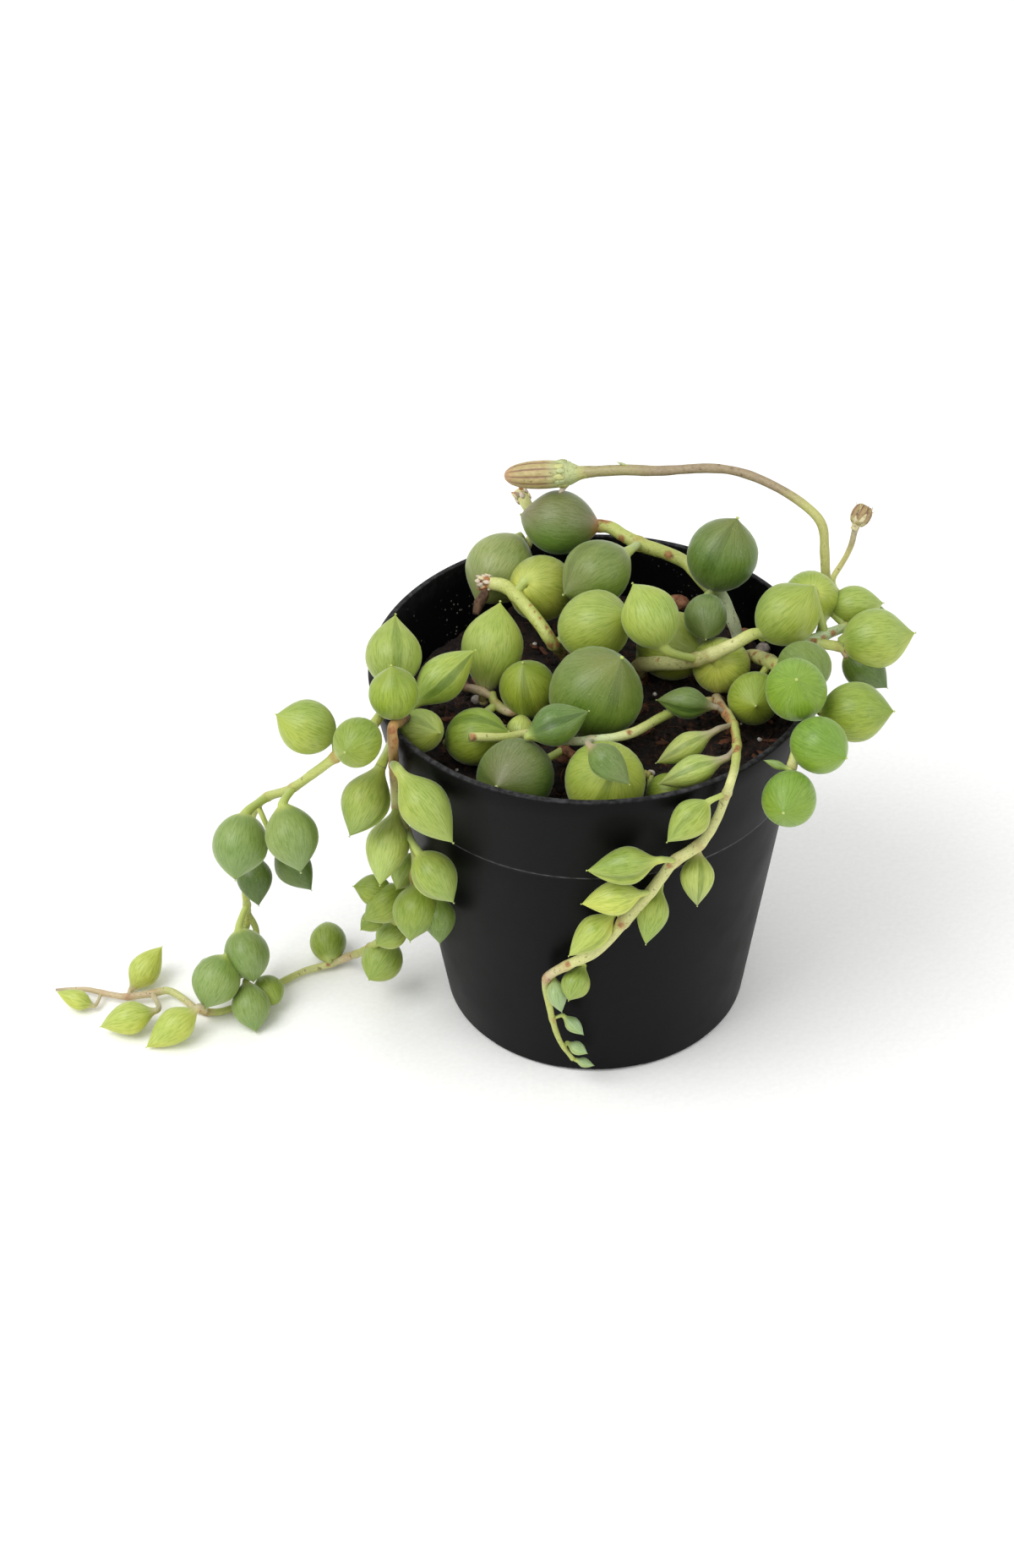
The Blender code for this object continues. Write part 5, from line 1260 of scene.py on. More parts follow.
def build_soil(settings, materials):
    """Soil that fills the pot, with crumbs, bark, perlite and fibres on it, and its stones."""
    rng = np.random.default_rng(5)
    waves = [(lattice(rng), cell, size) for cell, size in SOIL_NOISE]
    firsts = [plan["stems"][0][0] for plan in STRANDS.values()]
    roots = [(rest_on(*row[:4]), row[4]) for row in firsts]
    edge = wall_radius(SOIL_HEIGHT - SOIL_EDGE_DROP) - WALL - BAND_STEP - GAP
    waist = BAND_RADIUS - BAND_STEP - WALL - GAP - 0.1
    foot = BASE_RADIUS - WALL - GAP
    bottom = FLOOR + GAP
    below = [(foot * 0.1, bottom), (foot * 0.5, bottom), (foot, bottom), (waist, BAND_FOOT - 1.0),
             (edge, SOIL_HEIGHT - 3.0)]
    top = np.linspace(edge, 0.3, settings.soil_rings)[1:]
    reach = np.concatenate([[radius for radius, _ in below], top])[:, None]
    angle = even_angles(settings.soil_sides)
    x, y = reach * np.cos(angle), reach * np.sin(angle)
    z = soil_top(x, y, waves, roots)
    z[:len(below)] = np.array([level for _, level in below])[:, None]
    points = np.stack([x, y, z], -1).reshape(-1, 3)
    points = np.vstack([points, [[0, 0, bottom], [0, 0, z[-1].mean()]]])
    soil = Skin(points, *ring_faces(len(reach), len(angle)), {})
    put_together("peat", [soil], materials["peat"], ("soil",))

    def spot():
        reach = edge * math.sqrt(rng.random()) * 0.97
        turn = rng.random() * 2 * math.pi
        return reach * math.cos(turn), reach * math.sin(turn)

    for bits in BITS:
        lumps = []
        for _ in range(getattr(settings, bits.count)):
            x, y = spot()
            radii = np.array(bits.least) + np.array(bits.more) * rng.random(bits.draws) ** bits.power
            centre = np.array([x, y, float(soil_top(x, y, waves, roots)) + bits.lift * radii[2]])
            lumps.append(lump_skin(centre, radii, random_turn(rng, bits.lean), rng, 3, bits.sides,
                                   bits.rough))
        put_together(bits.piece, lumps, materials[bits.material], smooth=False)

    fibres = []
    for _ in range(settings.fibres):
        x, y = spot()
        turn = rng.random() * 2 * math.pi
        long = 2.0 + 4.0 * rng.random()
        s = np.linspace(-0.5, 0.5, 7)
        curl = (rng.random() - 0.5) * 2.2
        fx = x + long * s * math.cos(turn) - curl * (s ** 2) * long * math.sin(turn)
        fy = y + long * s * math.sin(turn) + curl * (s ** 2) * long * math.cos(turn)
        if np.hypot(fx, fy).max() >= edge - 0.4:
            continue
        fz = soil_top(fx, fy, waves, roots) + 0.12 + 0.8 * rng.random() * (0.25 - s ** 2)
        path = np.stack([fx, fy, fz], -1)
        _, sides, others = carried_sides(path, np.array([0.0, 0.0, 1.0]))
        taper = (0.05 + 0.09 * rng.random()) * (1 - 0.7 * (2 * np.abs(s)) ** 3)
        fibres.append(ring_skin(path, np.repeat(taper[:, None], 4, 1), sides, others, {}))
    put_together("coir_fibres", fibres, materials["fibre"])

    for name, px, py, radii, slot, material in STONES:
        centre = rest_on(px, py, SOIL, radii[2] * 0.35)
        lump = lump_skin(centre, np.array(radii), np.eye(3), rng, 13, 22, 0.09)
        put_together(name + "_grain", [lump], materials[material], (name,))


# Pot

def between(start, end, shares):
    """Profile points on the line from one radius and height to another."""
    return [(start[0] + (end[0] - start[0]) * s, start[1] + (end[1] - start[1]) * s) for s in shares]


def arc(centre, size, start):
    """Profile points on a quarter circle: centre + size (cos a, sin a), from the angle start."""
    return [(centre[0] + size * math.cos(start + a), centre[1] + size * math.sin(start + a))
            for a in np.linspace(0, math.pi / 2, ARC_POINTS)]


def pot_profile(wall, rim):
    """Radius and height round the pot's section, from under its floor over the rim to inside.

    It gives the rows, and how many of them stand at the foot, where the notches are.
    """
    body_top = BAND_RADIUS - BAND_STEP
    inner_foot = BASE_RADIUS - wall + 0.2
    inner_rim = (RIM_RADIUS - wall, POT_HEIGHT - INNER_ROUND)
    band_start = (BAND_RADIUS, BAND_FOOT + 0.15)
    foot = [(CENTRE_RADIUS, 0.0), (NOTCH_START - 2.0, 0.0), (NOTCH_START, 0.0)]
    foot += arc((BASE_RADIUS - FOOT_ROUND, FOOT_ROUND), FOOT_ROUND, -math.pi / 2)
    body = between((BASE_RADIUS, FOOT_ROUND), (body_top, BAND_FOOT - 1.0), np.linspace(0, 1, 12)[1:])
    step = [(body_top + 0.05, BAND_FOOT - 0.45), (BAND_RADIUS - 0.2, BAND_FOOT - 0.08), band_start]
    band = between(band_start, (RIM_RADIUS, POT_HEIGHT - rim), (0.015, 0.2, 0.4, 0.6, 0.8, 1.0))
    lip = arc((RIM_RADIUS - rim, POT_HEIGHT - rim), rim, 0.0)[1:]
    lip += arc((inner_rim[0] + INNER_ROUND, inner_rim[1]), INNER_ROUND, math.pi / 2)[1:]
    inside = between(inner_rim, (body_top - wall, BAND_FOOT), np.linspace(0, 1, 6)[1:])
    inside += between((body_top - wall, BAND_FOOT), (inner_foot, FLOOR), np.linspace(0, 1, 8)[1:])
    rows = foot + body + step + band + lip + inside + [(NOTCH_START, FLOOR), (CENTRE_RADIUS, FLOOR)]
    return np.array(rows), len(foot)


def build_pot(settings, materials):
    """The moulded pot: a turned profile with a rolled rim and a band, notched at the foot."""
    wall, rim = settings.wall / MM, settings.rim_roll / MM
    profile, foot_rows = pot_profile(wall, rim)
    angle = even_angles(settings.pot_sides)
    x, y = profile[:, :1] * np.cos(angle), profile[:, :1] * np.sin(angle)
    z = profile[:, 1:2] + 0 * x
    sector = 2 * math.pi / NOTCHES
    from_notch = (angle + math.pi / 2 + sector / 2) % sector - sector / 2
    beside = np.abs(profile[:, :1] * np.sin(from_notch))
    at_foot = (np.arange(len(profile)) < foot_rows)[:, None]
    notched = at_foot & (profile[:, :1] >= NOTCH_START) & (beside < settings.notch_width / MM / 2)
    z = np.where(notched, np.maximum(z, settings.notch_depth / MM), z)
    points = np.stack([x, y, z], -1).reshape(-1, 3)
    points = np.vstack([points, [[0, 0, 0], [0, 0, FLOOR]]])
    x, y, z = points.T
    # Painted highlight: a pale line where the band's foot catches the light, and a fainter one at the rim
    edges = (np.exp(-((z - BAND_FOOT - 0.1) / BAND_HIGHLIGHT) ** 2)
             + 0.35 * np.exp(-((z - POT_HEIGHT) / RIM_HIGHLIGHT) ** 2))
    mid_wall = (BASE_RADIUS - wall / 2, BAND_RADIUS - BAND_STEP - wall / 2, RIM_RADIUS - wall)
    outside = np.hypot(x, y) > np.interp(z, WALL_HEIGHTS, mid_wall)
    inner = (~outside) & (z > SOIL_HEIGHT - 4)
    left = eased(-x, 8.0, 24.0) * eased(y, -14.0, 0.0)
    marks = {"edge_highlight": (edges * outside)[:, None], "dusty": (inner * (0.2 + 0.6 * left))[:, None]}
    skin = Skin(points, *ring_faces(len(profile), len(angle)), marks)
    pot = put_together("nursery_pot", [skin], materials["plastic"], ("pot",))
    for k in range(NOTCHES):
        way = -math.pi / 2 + sector * k
        bpy.ops.mesh.primitive_cylinder_add(vertices=32, radius=settings.drain_radius,
                                            depth=6 * FLOOR * MM)
        drill = bpy.context.object
        drill.location = (DRAIN_CIRCLE * math.cos(way) * MM, DRAIN_CIRCLE * math.sin(way) * MM, 0)
        hole = pot.modifiers.new("Drain", "BOOLEAN")
        hole.operation, hole.solver, hole.object = "DIFFERENCE", "EXACT", drill
        seen = pot.evaluated_get(bpy.context.evaluated_depsgraph_get())
        mesh = bpy.data.meshes.new_from_object(seen)
        pot.modifiers.clear()
        pot.data = mesh
        bpy.data.objects.remove(drill)
    pot.data.set_sharp_from_angle(angle=math.radians(SHARP_ANGLE))


# Materials

def new_material(name):
    """A material with its node tree and its shader."""
    material = bpy.data.materials.new(name)
    material.use_nodes = True
    return material, material.node_tree, material.node_tree.nodes["Principled BSDF"]


def fill(added, inputs):
    """Links each input that is given a socket and sets the others; an sRGB hex value turns linear."""
    for name, value in inputs.items():
        if isinstance(value, bpy.types.NodeSocket):
            added.id_data.links.new(value, added.inputs[name])
        else:
            added.inputs[name].default_value = (*linear(value), 1.0) if isinstance(value, str) else value


def node(tree, kind, output, inputs=None, stops=(), **settings):
    """Adds a node with its properties, inputs and links, and gives one of its outputs.

    stops are a colour ramp's positions, with a grey, an sRGB hex value or a colour setting each.
    """
    added = tree.nodes.new("ShaderNode" + kind)
    for name, value in settings.items():
        setattr(added, name, value)
    fill(added, inputs or {})
    for k, (position, colour) in enumerate(stops):
        points = added.color_ramp.elements
        point = points[k] if k < len(points) else points.new(1.0)
        if isinstance(colour, str):
            colour = (*linear(colour), 1.0)
        elif isinstance(colour, float):
            colour = (colour, colour, colour, 1.0)
        point.position, point.color = position, colour
    return added.outputs[output]


def leaf_material(settings):
    """Living succulent skin: waxy and satin, with fine lines of cells that meet at the tip.

    The lines stand about 0.3 mm apart, and pale wax lies on it in cells and blotches. The stripe
    is a clear window into the leaf, so it reads darker and greener.
    """
    material, tree, shader = new_material("succulent_leaf_skin")
    tint = node(tree, "Attribute", "Color", attribute_name="tint")
    lines = node(tree, "Attribute", "Vector", attribute_name="lines")
    window = node(tree, "Attribute", "Vector", attribute_name="window")
    off = node(tree, "SeparateXYZ", "X", {"Vector": window})
    plainness = node(tree, "SeparateXYZ", "Y", {"Vector": window})
    place = node(tree, "TexCoord", "Object")
    fine = node(tree, "TexNoise", "Fac", {"Vector": lines, "Scale": LEAF_LINES, "Detail": 1.0})
    cells = node(tree, "TexNoise", "Fac", {"Vector": place, "Scale": 1 / (LEAF_CELL * MM), "Detail": 1.0})
    blotch = node(tree, "TexNoise", "Fac", {"Vector": place, "Scale": 1 / (LEAF_BLOTCH * MM), "Detail": 1.0})
    grooves = node(tree, "ValToRGB", "Color", {"Fac": fine},
                   [(0.3, "#d6dfba"), (0.5, "#f5f7ec"), (0.62, "#ffffff")])
    clouds = node(tree, "ValToRGB", "Color", {"Fac": blotch},
                  [(0.3, "#dae6c8"), (0.5, "#f8faf0"), (0.7, "#fffbe4")])
    waxy = node(tree, "ValToRGB", "Color", {"Fac": cells}, [(0.6, 0.0), (0.85, 0.14)])
    near = node(tree, "ValToRGB", "Color", {"Fac": off}, [(0.0, 1.0), (0.75, 0.8), (1.0, 0.0)])
    clear = node(tree, "Math", "Value", {0: near, 1: plainness}, operation="MULTIPLY")
    colour = node(tree, "Mix", BLEND, {SHARE: 1.0, FIRST: tint, SECOND: grooves}, **MULTIPLIED)
    colour = node(tree, "Mix", BLEND, {SHARE: 0.7, FIRST: colour, SECOND: clouds}, **MULTIPLIED)
    colour = node(tree, "Mix", BLEND, {SHARE: waxy, FIRST: colour, SECOND: settings.wax}, **PLAIN)
    colour = node(tree, "Mix", BLEND, {SHARE: clear, FIRST: colour, SECOND: settings.window}, **MULTIPLIED)
    rough = node(tree, "ValToRGB", "Color", {"Fac": blotch}, [(0.3, 0.38), (0.7, 0.48)])
    relief = node(tree, "Bump", "Normal", {"Height": fine, "Distance": 0.04 * MM, "Strength": 0.6})
    fill(shader, {"Base Color": colour, "Roughness": rough, "Normal": relief, "IOR": 1.45,
                  "Subsurface Weight": 0.15, "Subsurface Radius": (0.9, 1.0, 0.3),
                  "Subsurface Scale": MM, "Sheen Weight": 0.4, "Sheen Roughness": 0.3,
                  "Sheen Tint": "#dfefda"})
    return material


def rind_material():
    """Stem rind: satin and green where young, corky and dull where the bark attribute is high.

    Dark flecks about 1 mm across lie on it, and cork is rough and darker between them.
    """
    material, tree, shader = new_material("plant_stem_rind")
    tint = node(tree, "Attribute", "Color", attribute_name="tint")
    bark = node(tree, "Attribute", "Fac", attribute_name="bark")
    lines = node(tree, "Attribute", "Vector", attribute_name="lines")
    place = node(tree, "TexCoord", "Object")
    grain = node(tree, "TexNoise", "Fac", {"Vector": lines, "Scale": RIND_LINES, "Detail": 3.0,
                                           "Roughness": 0.6})
    flecks = node(tree, "TexNoise", "Fac", {"Vector": place, "Scale": 1 / (RIND_FLECK * MM),
                                            "Detail": 3.0, "Roughness": 0.7})
    streaks = node(tree, "ValToRGB", "Color", {"Fac": grain}, [(0.3, "#d3d0ae"), (0.65, "#ffffff")])
    spots = node(tree, "ValToRGB", "Color", {"Fac": flecks}, [(0.31, 1.0), (0.39, 0.0)])
    spots = node(tree, "Math", "Value", {0: spots, 1: 0.7}, operation="MULTIPLY")
    cork = node(tree, "ValToRGB", "Color", {"Fac": flecks}, [(0.35, "#7a6656"), (0.6, "#ffffff")])
    colour = node(tree, "Mix", BLEND, {SHARE: 0.85, FIRST: tint, SECOND: streaks}, **MULTIPLIED)
    colour = node(tree, "Mix", BLEND, {SHARE: spots, FIRST: colour, SECOND: "#5b4630"}, **PLAIN)
    colour = node(tree, "Mix", BLEND, {SHARE: bark, FIRST: colour, SECOND: cork}, **MULTIPLIED)
    rough = node(tree, "MapRange", "Result", {"Value": bark, "To Min": 0.5, "To Max": 0.85})
    relief = node(tree, "Bump", "Normal", {"Height": flecks, "Distance": 0.15 * MM, "Strength": 0.6})
    fill(shader, {"Base Color": colour, "Roughness": rough, "Normal": relief,
                  "Subsurface Weight": 0.1, "Subsurface Radius": (0.8, 1.0, 0.3),
                  "Subsurface Scale": 0.6 * MM})
    return material


def peat_material(settings):
    """Damp peat: near black, with paler crumbs about 1.4 mm across and red-brown fibres. Its shades
    follow the crumbs' relief: darker in the hollows as painted shade, paler on the tops as painted light.

    Real crumbs go finer than this, but finer ones don't show in the render.
    """
    material, tree, shader = new_material("damp_peat")
    place = node(tree, "TexCoord", "Object")
    long = node(tree, "Mapping", "Vector", {"Vector": place, "Scale": (1.0, 0.22, 1.0)})
    crumbs = node(tree, "TexNoise", "Fac", {"Vector": place, "Scale": 1 / (PEAT_CRUMB * MM),
                                            "Detail": 5.0, "Roughness": 0.65})
    fibres = node(tree, "TexNoise", "Fac", {"Vector": long, "Scale": 1 / (PEAT_FIBRE * MM),
                                            "Detail": 4.0, "Roughness": 0.6})
    # Painted shade and light: the colour follows the relief's noise, dark in the hollows, mid on the sides,
    # pale on the tops
    colour = node(tree, "ValToRGB", "Color", {"Fac": crumbs},
                  [(0.36, settings.peat_dark), (0.54, settings.peat_mid), (0.7, settings.peat_light)])
    red = node(tree, "ValToRGB", "Color", {"Fac": fibres}, [(0.60, 0.0), (0.68, 1.0)])
    red = node(tree, "Math", "Value", {0: red, 1: 0.6}, operation="MULTIPLY")
    colour = node(tree, "Mix", BLEND, {SHARE: red, FIRST: colour, SECOND: settings.peat_fibre}, **PLAIN)
    relief = node(tree, "Bump", "Normal", {"Height": crumbs, "Distance": 1.2 * MM})
    fill(shader, {"Base Color": colour, "Roughness": 0.9, "Normal": relief})
    return material


def grit_material(name, light, dark, size, depth):
    """Rough mineral grit: two shades in patches of the given size, and open pores about half of it.

    size and depth, how deep its relief is, are in mm.
    """
    material, tree, shader = new_material(name)
    place = node(tree, "TexCoord", "Object")
    patch = node(tree, "TexNoise", "Fac", {"Vector": place, "Scale": 1 / (size * MM), "Detail": 5.0,
                                           "Roughness": 0.65})
    pores = node(tree, "TexVoronoi", "Distance", {"Vector": place, "Scale": PORES / (size * MM)})
    colour = node(tree, "ValToRGB", "Color", {"Fac": patch}, [(0.35, dark), (0.65, light)])
    shadow = node(tree, "ValToRGB", "Color", {"Fac": pores}, [(0.0, "#8a7d70"), (0.35, "#ffffff")])
    colour = node(tree, "Mix", BLEND, {SHARE: 0.5, FIRST: colour, SECOND: shadow}, **MULTIPLIED)
    relief = node(tree, "Bump", "Normal", {"Height": patch, "Distance": depth * MM})
    fill(shader, {"Base Color": colour, "Roughness": 0.92, "Normal": relief})
    return material


def plastic_material(settings):
    """Injection-moulded polypropylene: black and half matt, with a painted pale highlight along the band's
    foot and the rim, dusty.

    The moulded grain is 0.4 mm. Pale dust lies in specks on the inner wall above the soil, drawn
    1 mm apart because real dust is too fine to show.
    """
    material, tree, shader = new_material("moulded_polypropylene")
    place = node(tree, "TexCoord", "Object")
    edge_highlight = node(tree, "Attribute", "Fac", attribute_name="edge_highlight")
    dusty = node(tree, "Attribute", "Fac", attribute_name="dusty")
    grain = node(tree, "TexNoise", "Fac", {"Vector": place, "Scale": 1 / (PLASTIC_GRAIN * MM),
                                           "Detail": 2.0})
    cloud = node(tree, "TexNoise", "Fac", {"Vector": place, "Scale": 1 / (PLASTIC_CLOUD * MM),
                                           "Detail": 4.0, "Roughness": 0.6})
    highlight_breaks = node(tree, "TexNoise", "Fac", {"Vector": place, "Scale": 1 / (PLASTIC_HIGHLIGHT_BREAK * MM),
                                           "Detail": 3.0, "Roughness": 0.6})
    specks = node(tree, "TexVoronoi", "Distance", {"Vector": place, "Scale": 1 / (DUST_SPECK * MM)})
    drifts = node(tree, "TexNoise", "Fac", {"Vector": place, "Scale": 1 / (DUST_DRIFT * MM),
                                            "Detail": 3.0, "Roughness": 0.6})
    colour = node(tree, "ValToRGB", "Color", {"Fac": cloud},
                  [(0.3, settings.plastic_dark), (0.7, settings.plastic_light)])
    # Painted highlight: the edges turn pale grey, in patches
    highlight_breaks = node(tree, "ValToRGB", "Color", {"Fac": highlight_breaks}, [(0.4, 0.25), (0.65, 1.0)])
    edge_highlight = node(tree, "Math", "Value", {0: edge_highlight, 1: highlight_breaks}, operation="MULTIPLY")
    colour = node(tree, "Mix", BLEND, {SHARE: edge_highlight, FIRST: colour, SECOND: "#646466"}, **PLAIN)
    specks = node(tree, "ValToRGB", "Color", {"Fac": specks}, [(0.12, 1.0), (0.22, 0.0)])
    drifts = node(tree, "ValToRGB", "Color", {"Fac": drifts}, [(0.5, 0.0), (0.62, 1.0)])
    dust = node(tree, "Math", "Value", {0: specks, 1: drifts}, operation="MULTIPLY")
    dust = node(tree, "Math", "Value", {0: dust, 1: dusty}, operation="MULTIPLY")
    colour = node(tree, "Mix", BLEND, {SHARE: dust, FIRST: colour, SECOND: settings.dust}, **PLAIN)
    rough = node(tree, "ValToRGB", "Color", {"Fac": cloud}, [(0.3, 0.38), (0.7, 0.5)])
    relief = node(tree, "Bump", "Normal", {"Height": grain, "Distance": 0.03 * MM, "Strength": 0.5})
    fill(shader, {"Base Color": colour, "Roughness": rough, "Normal": relief, "IOR": 1.49,
                  "Specular IOR Level": 0.07})
    return material


def floor_material():
    """Studio board: matt and pale, with a faint paper tooth, drawn 1 mm wide so that it shows."""
    material, tree, shader = new_material("studio_board")
    place = node(tree, "TexCoord", "Object")
    tooth = node(tree, "TexNoise", "Fac", {"Vector": place, "Scale": 1 / (PAPER_TOOTH * MM), "Detail": 2.0})
    colour = node(tree, "ValToRGB", "Color", {"Fac": tooth}, [(0.3, "#f8f8f7"), (0.7, "#fdfdfc")])
    fill(shader, {"Base Color": colour, "Roughness": 0.85, "Specular IOR Level": 0.2})
    return material


def all_materials(settings):
    """Every material of the plant and its pot; grit is given as light, dark, patch and depth."""
    return {
        "skin": leaf_material(settings),
        "rind": rind_material(),
        "peat": peat_material(settings),
        "bark": grit_material("conifer_bark", "#7a4a30", "#3a2418", 1.6, 0.3),
        "fibre": grit_material("coir_fibre", "#6b3f28", "#35211a", 1.2, 0.1),
        "perlite": grit_material("expanded_perlite", "#f0ece4", "#c9c1b4", 0.8, 0.2),
        "pumice": grit_material("orange_pumice", "#b98663", "#7c4a33", 1.4, 0.4),
        "grit": grit_material("granite_grit", "#b9b0a6", "#7f756c", 1.2, 0.3),
        "plastic": plastic_material(settings),
    }


# Settings

def counted(name, description, default, least):
    """A whole number that the user can change."""
    return IntProperty(name=name, description=description, default=default, min=least)


def measured(name, description, default):
    """A length that the user can change, given in millimetres and kept in metres."""
    return FloatProperty(name=name, description=description, default=default * MM, min=0.0,
                         unit="LENGTH", precision=5)


def coloured(name, description, default):
    """A colour that the user can change, given as an sRGB hex value."""
    return FloatVectorProperty(name=name, description=description, default=(*linear(default), 1.0),
                               size=4, min=0.0, max=1.0, subtype="COLOR")


class RaindropSettings(bpy.types.PropertyGroup):
    """Sizes, counts, colours and lights that a user would change."""
    wall: measured("Pot wall", "Thickness of the pot's wall", WALL)
    rim_roll: measured("Rim roll", "Radius of the rim's outer edge", RIM_ROLL)
    notch_width: measured("Notch width", "Width of each notch at the pot's foot", NOTCH_WIDTH)
    notch_depth: measured("Notch depth", "Height of each notch at the pot's foot", NOTCH_DEPTH)
    drain_radius: measured("Drain holes", "Radius of each drain hole", DRAIN_RADIUS)
    leaf_sides: counted("Leaf sides", "Points round a leaf", 36, 8)
    leaf_rings: counted("Leaf rings", "Rings along a leaf", 26, 8)
    stalk_rings: counted("Stalk rings", "Rings along a leaf's stalk", 9, 3)
    stem_sides: counted("Stem sides", "Points round a stem", 20, 6)
    pot_sides: counted("Pot sides", "Points round the pot", 240, 24)
    soil_rings: counted("Soil rings", "Rings across the soil's top", 110, 10)
    soil_sides: counted("Soil sides", "Points round the soil", 300, 24)
    crumbs: counted("Crumbs", "Loose crumbs of peat", 650, 1)
    chips: counted("Bark chips", "Chips of bark on the soil", 70, 1)
    grains: counted("Perlite grains", "White grains on the soil", 46, 1)
    fibres: counted("Fibres", "Fibres on the soil", 260, 1)
    stripe_depth: FloatProperty(
        name="Stripe depth", default=0.018, min=0.0, max=0.2, subtype="FACTOR",
        description="How far the clear stripe is sunk, as a share of the leaf's radius")
    stripe_width: FloatProperty(
        name="Stripe width", default=0.24, subtype="ANGLE",
        description="Half width of the clear stripe, as an angle round the leaf")
    window: coloured("Clear stripe", "Tint of the clear stripe over the leaf's own", "#9db07d")
    wax: coloured("Wax", "Pale wax on the leaves", "#dfe7bf")
    # Peat shades by the crumbs' relief: painted shade in the hollows, painted light on the tops
    peat_dark: coloured("Peat, hollows", "Peat between the crumbs", "#090504")
    peat_mid: coloured("Peat", "Peat on the crumbs' sides", "#21130b")
    peat_light: coloured("Peat, crumbs", "Peat on top of the crumbs", "#4a2d1b")
    peat_fibre: coloured("Peat fibres", "Red-brown fibres in the peat", "#6a3620")
    plastic_dark: coloured("Plastic, dark", "Darker clouds of the pot's plastic", "#08080a")
    plastic_light: coloured("Plastic, light", "Lighter clouds of the pot's plastic", "#0d0d0e")
    dust: coloured("Dust", "Dust on the pot's inner wall", "#a8a298")
    key_power: FloatProperty(
        name="Key light", default=7.5, unit="POWER",
        description="Power of the large soft light at the left")
    fill_power: FloatProperty(
        name="Fill light", default=2.5, unit="POWER", description="Power of the light at the right")
    surround: FloatProperty(
        name="Surround", default=0.85, description="Strength of the white surround")
    floor_size: FloatProperty(name="Floor", default=6.0, unit="LENGTH", description="Side of the floor")


# Operators

class RAINDROPS_OT_pot(bpy.types.Operator):
    """Build the moulded pot in the solid's place"""
    bl_idname = "raindrops.pot"
    bl_label = "Build Pot"

    def execute(self, context):
        build_pot(context.scene.raindrops, MATERIALS)
        return {"FINISHED"}


class RAINDROPS_OT_soil(bpy.types.Operator):
    """Build the soil, its stones and the loose bits on it"""
    bl_idname = "raindrops.soil"
    bl_label = "Build Soil"

    def execute(self, context):
        build_soil(context.scene.raindrops, MATERIALS)
        return {"FINISHED"}


class RAINDROPS_OT_strands(bpy.types.Operator):
    """Grow the leafy stems"""
    bl_idname = "raindrops.strands"
    bl_label = "Grow Leafy Stems"

    def execute(self, context):
        for name, plan in STRANDS.items():
            build_strand(name, plan, context.scene.raindrops, MATERIALS)
        return {"FINISHED"}


class RAINDROPS_OT_flowers(bpy.types.Operator):
    """Build both flower buds and their stalks"""
    bl_idname = "raindrops.flowers"
    bl_label = "Build Flower Buds"

    def execute(self, context):
        rng = np.random.default_rng(11)
        build_flower(context.scene.raindrops, MATERIALS, rng)
        build_small_bud(context.scene.raindrops, MATERIALS, rng)
        return {"FINISHED"}


def soft_light(name, place, size, power):
    """A square area light of that size, turned to the plant's middle."""
    lamp = bpy.data.lights.new(name, "AREA")
    lamp.shape, lamp.size, lamp.size_y, lamp.energy = "RECTANGLE", size, size, power
    light = bpy.data.objects.new(name, lamp)
    bpy.context.scene.collection.objects.link(light)
    away = unit(np.array(place) - np.array(PLANT_MIDDLE))
    across = unit(np.cross([0.0, 0.0, 1.0], away))
    turn = Matrix([[across[k], np.cross(away, across)[k], away[k]] for k in range(3)]).to_4x4()
    light.matrix_world = Matrix.Translation(place) @ turn


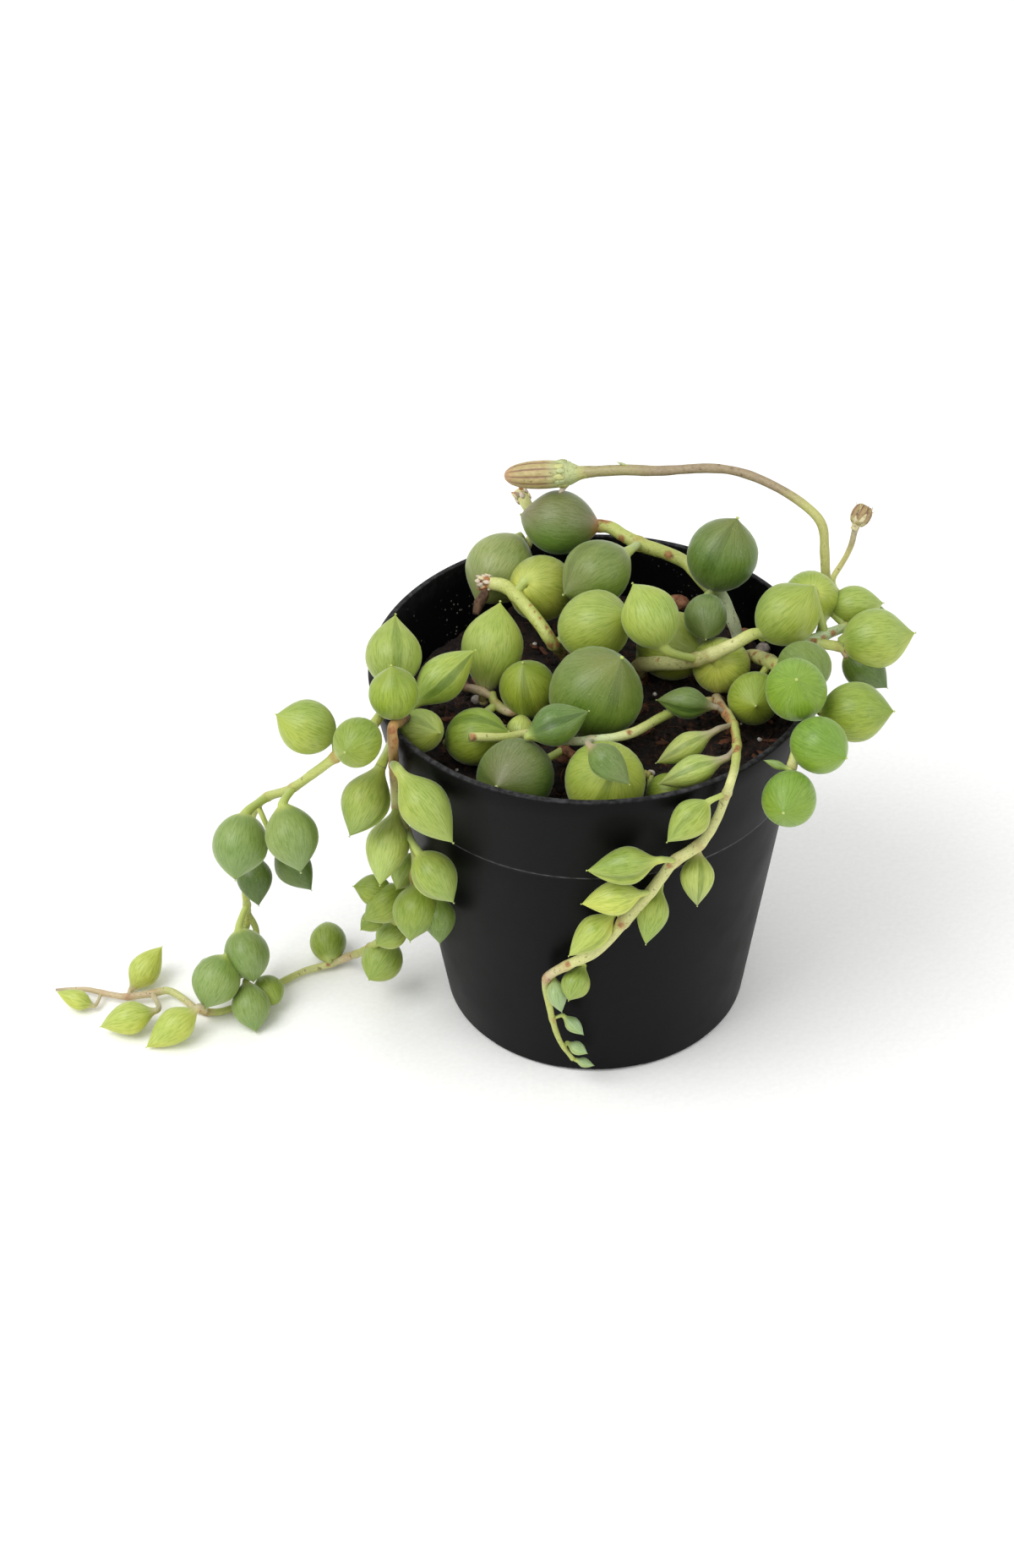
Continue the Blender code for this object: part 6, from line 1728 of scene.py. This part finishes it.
class RAINDROPS_OT_stage(bpy.types.Operator):
    """Set the floor, the soft lights and the camera"""
    bl_idname = "raindrops.stage"
    bl_label = "Set Stage"

    def execute(self, context):
        settings = context.scene.raindrops
        half = settings.floor_size / 2
        mesh = bpy.data.meshes.new("floor")
        corners = [(-half, -half, 0), (half, -half, 0), (half, half, 0), (-half, half, 0)]
        mesh.from_pydata(corners, [], [(0, 1, 2, 3)])
        floor = bpy.data.objects.new("floor", mesh)
        context.scene.collection.objects.link(floor)
        mesh.materials.append(floor_material())
        soft_light("key", (-0.55, -0.35, 0.95), 0.7, settings.key_power)
        soft_light("fill", (0.9, -0.5, 0.6), 0.8, settings.fill_power)
        world = bpy.data.worlds.new("surround")
        world.use_nodes = True
        background = world.node_tree.nodes["Background"]
        background.inputs["Color"].default_value = (1.0, 1.0, 1.0, 1.0)
        background.inputs["Strength"].default_value = settings.surround
        context.scene.world = world
        context.scene.view_settings.view_transform = "Standard"
        lens = bpy.data.cameras.new("camera")
        lens.sensor_width = SENSOR
        lens.lens = FOCAL_LENGTH / max(PICTURE) * SENSOR
        lens.clip_start, lens.clip_end = 0.01, 20.0
        camera = bpy.data.objects.new("camera", lens)
        context.scene.collection.objects.link(camera)
        columns = np.stack([RIGHT, UP, BACK], 1)
        camera.matrix_world = Matrix.Translation(EYE * MM) @ Matrix(columns.tolist()).to_4x4()
        context.scene.camera = camera
        return {"FINISHED"}


class RAINDROPS_PT_panel(bpy.types.Panel):
    """The settings, and a button for each operator"""
    bl_label = "String of Raindrops"
    bl_idname = "RAINDROPS_PT_panel"
    bl_space_type = "VIEW_3D"
    bl_region_type = "UI"
    bl_category = "Raindrops"

    def draw(self, context):
        settings = context.scene.raindrops
        for name in settings.__annotations__:
            self.layout.prop(settings, name)
        for operator in STEPS:
            self.layout.operator(operator)


STEPS = ("raindrops.stage", "raindrops.pot", "raindrops.soil", "raindrops.strands", "raindrops.flowers")
CLASSES = (RaindropSettings, RAINDROPS_OT_pot, RAINDROPS_OT_soil, RAINDROPS_OT_strands,
           RAINDROPS_OT_flowers, RAINDROPS_OT_stage, RAINDROPS_PT_panel)
MATERIALS = {}


def register():
    for kind in CLASSES:
        bpy.utils.register_class(kind)
    bpy.types.Scene.raindrops = PointerProperty(type=RaindropSettings)


def unregister():
    del bpy.types.Scene.raindrops
    for kind in reversed(CLASSES):
        bpy.utils.unregister_class(kind)


def main():
    register()
    MATERIALS.update(all_materials(bpy.context.scene.raindrops))
    bpy.ops.raindrops.stage()
    bpy.ops.raindrops.pot()
    bpy.ops.raindrops.soil()
    bpy.ops.raindrops.strands()
    bpy.ops.raindrops.flowers()


if __name__ == "__main__":
    main()
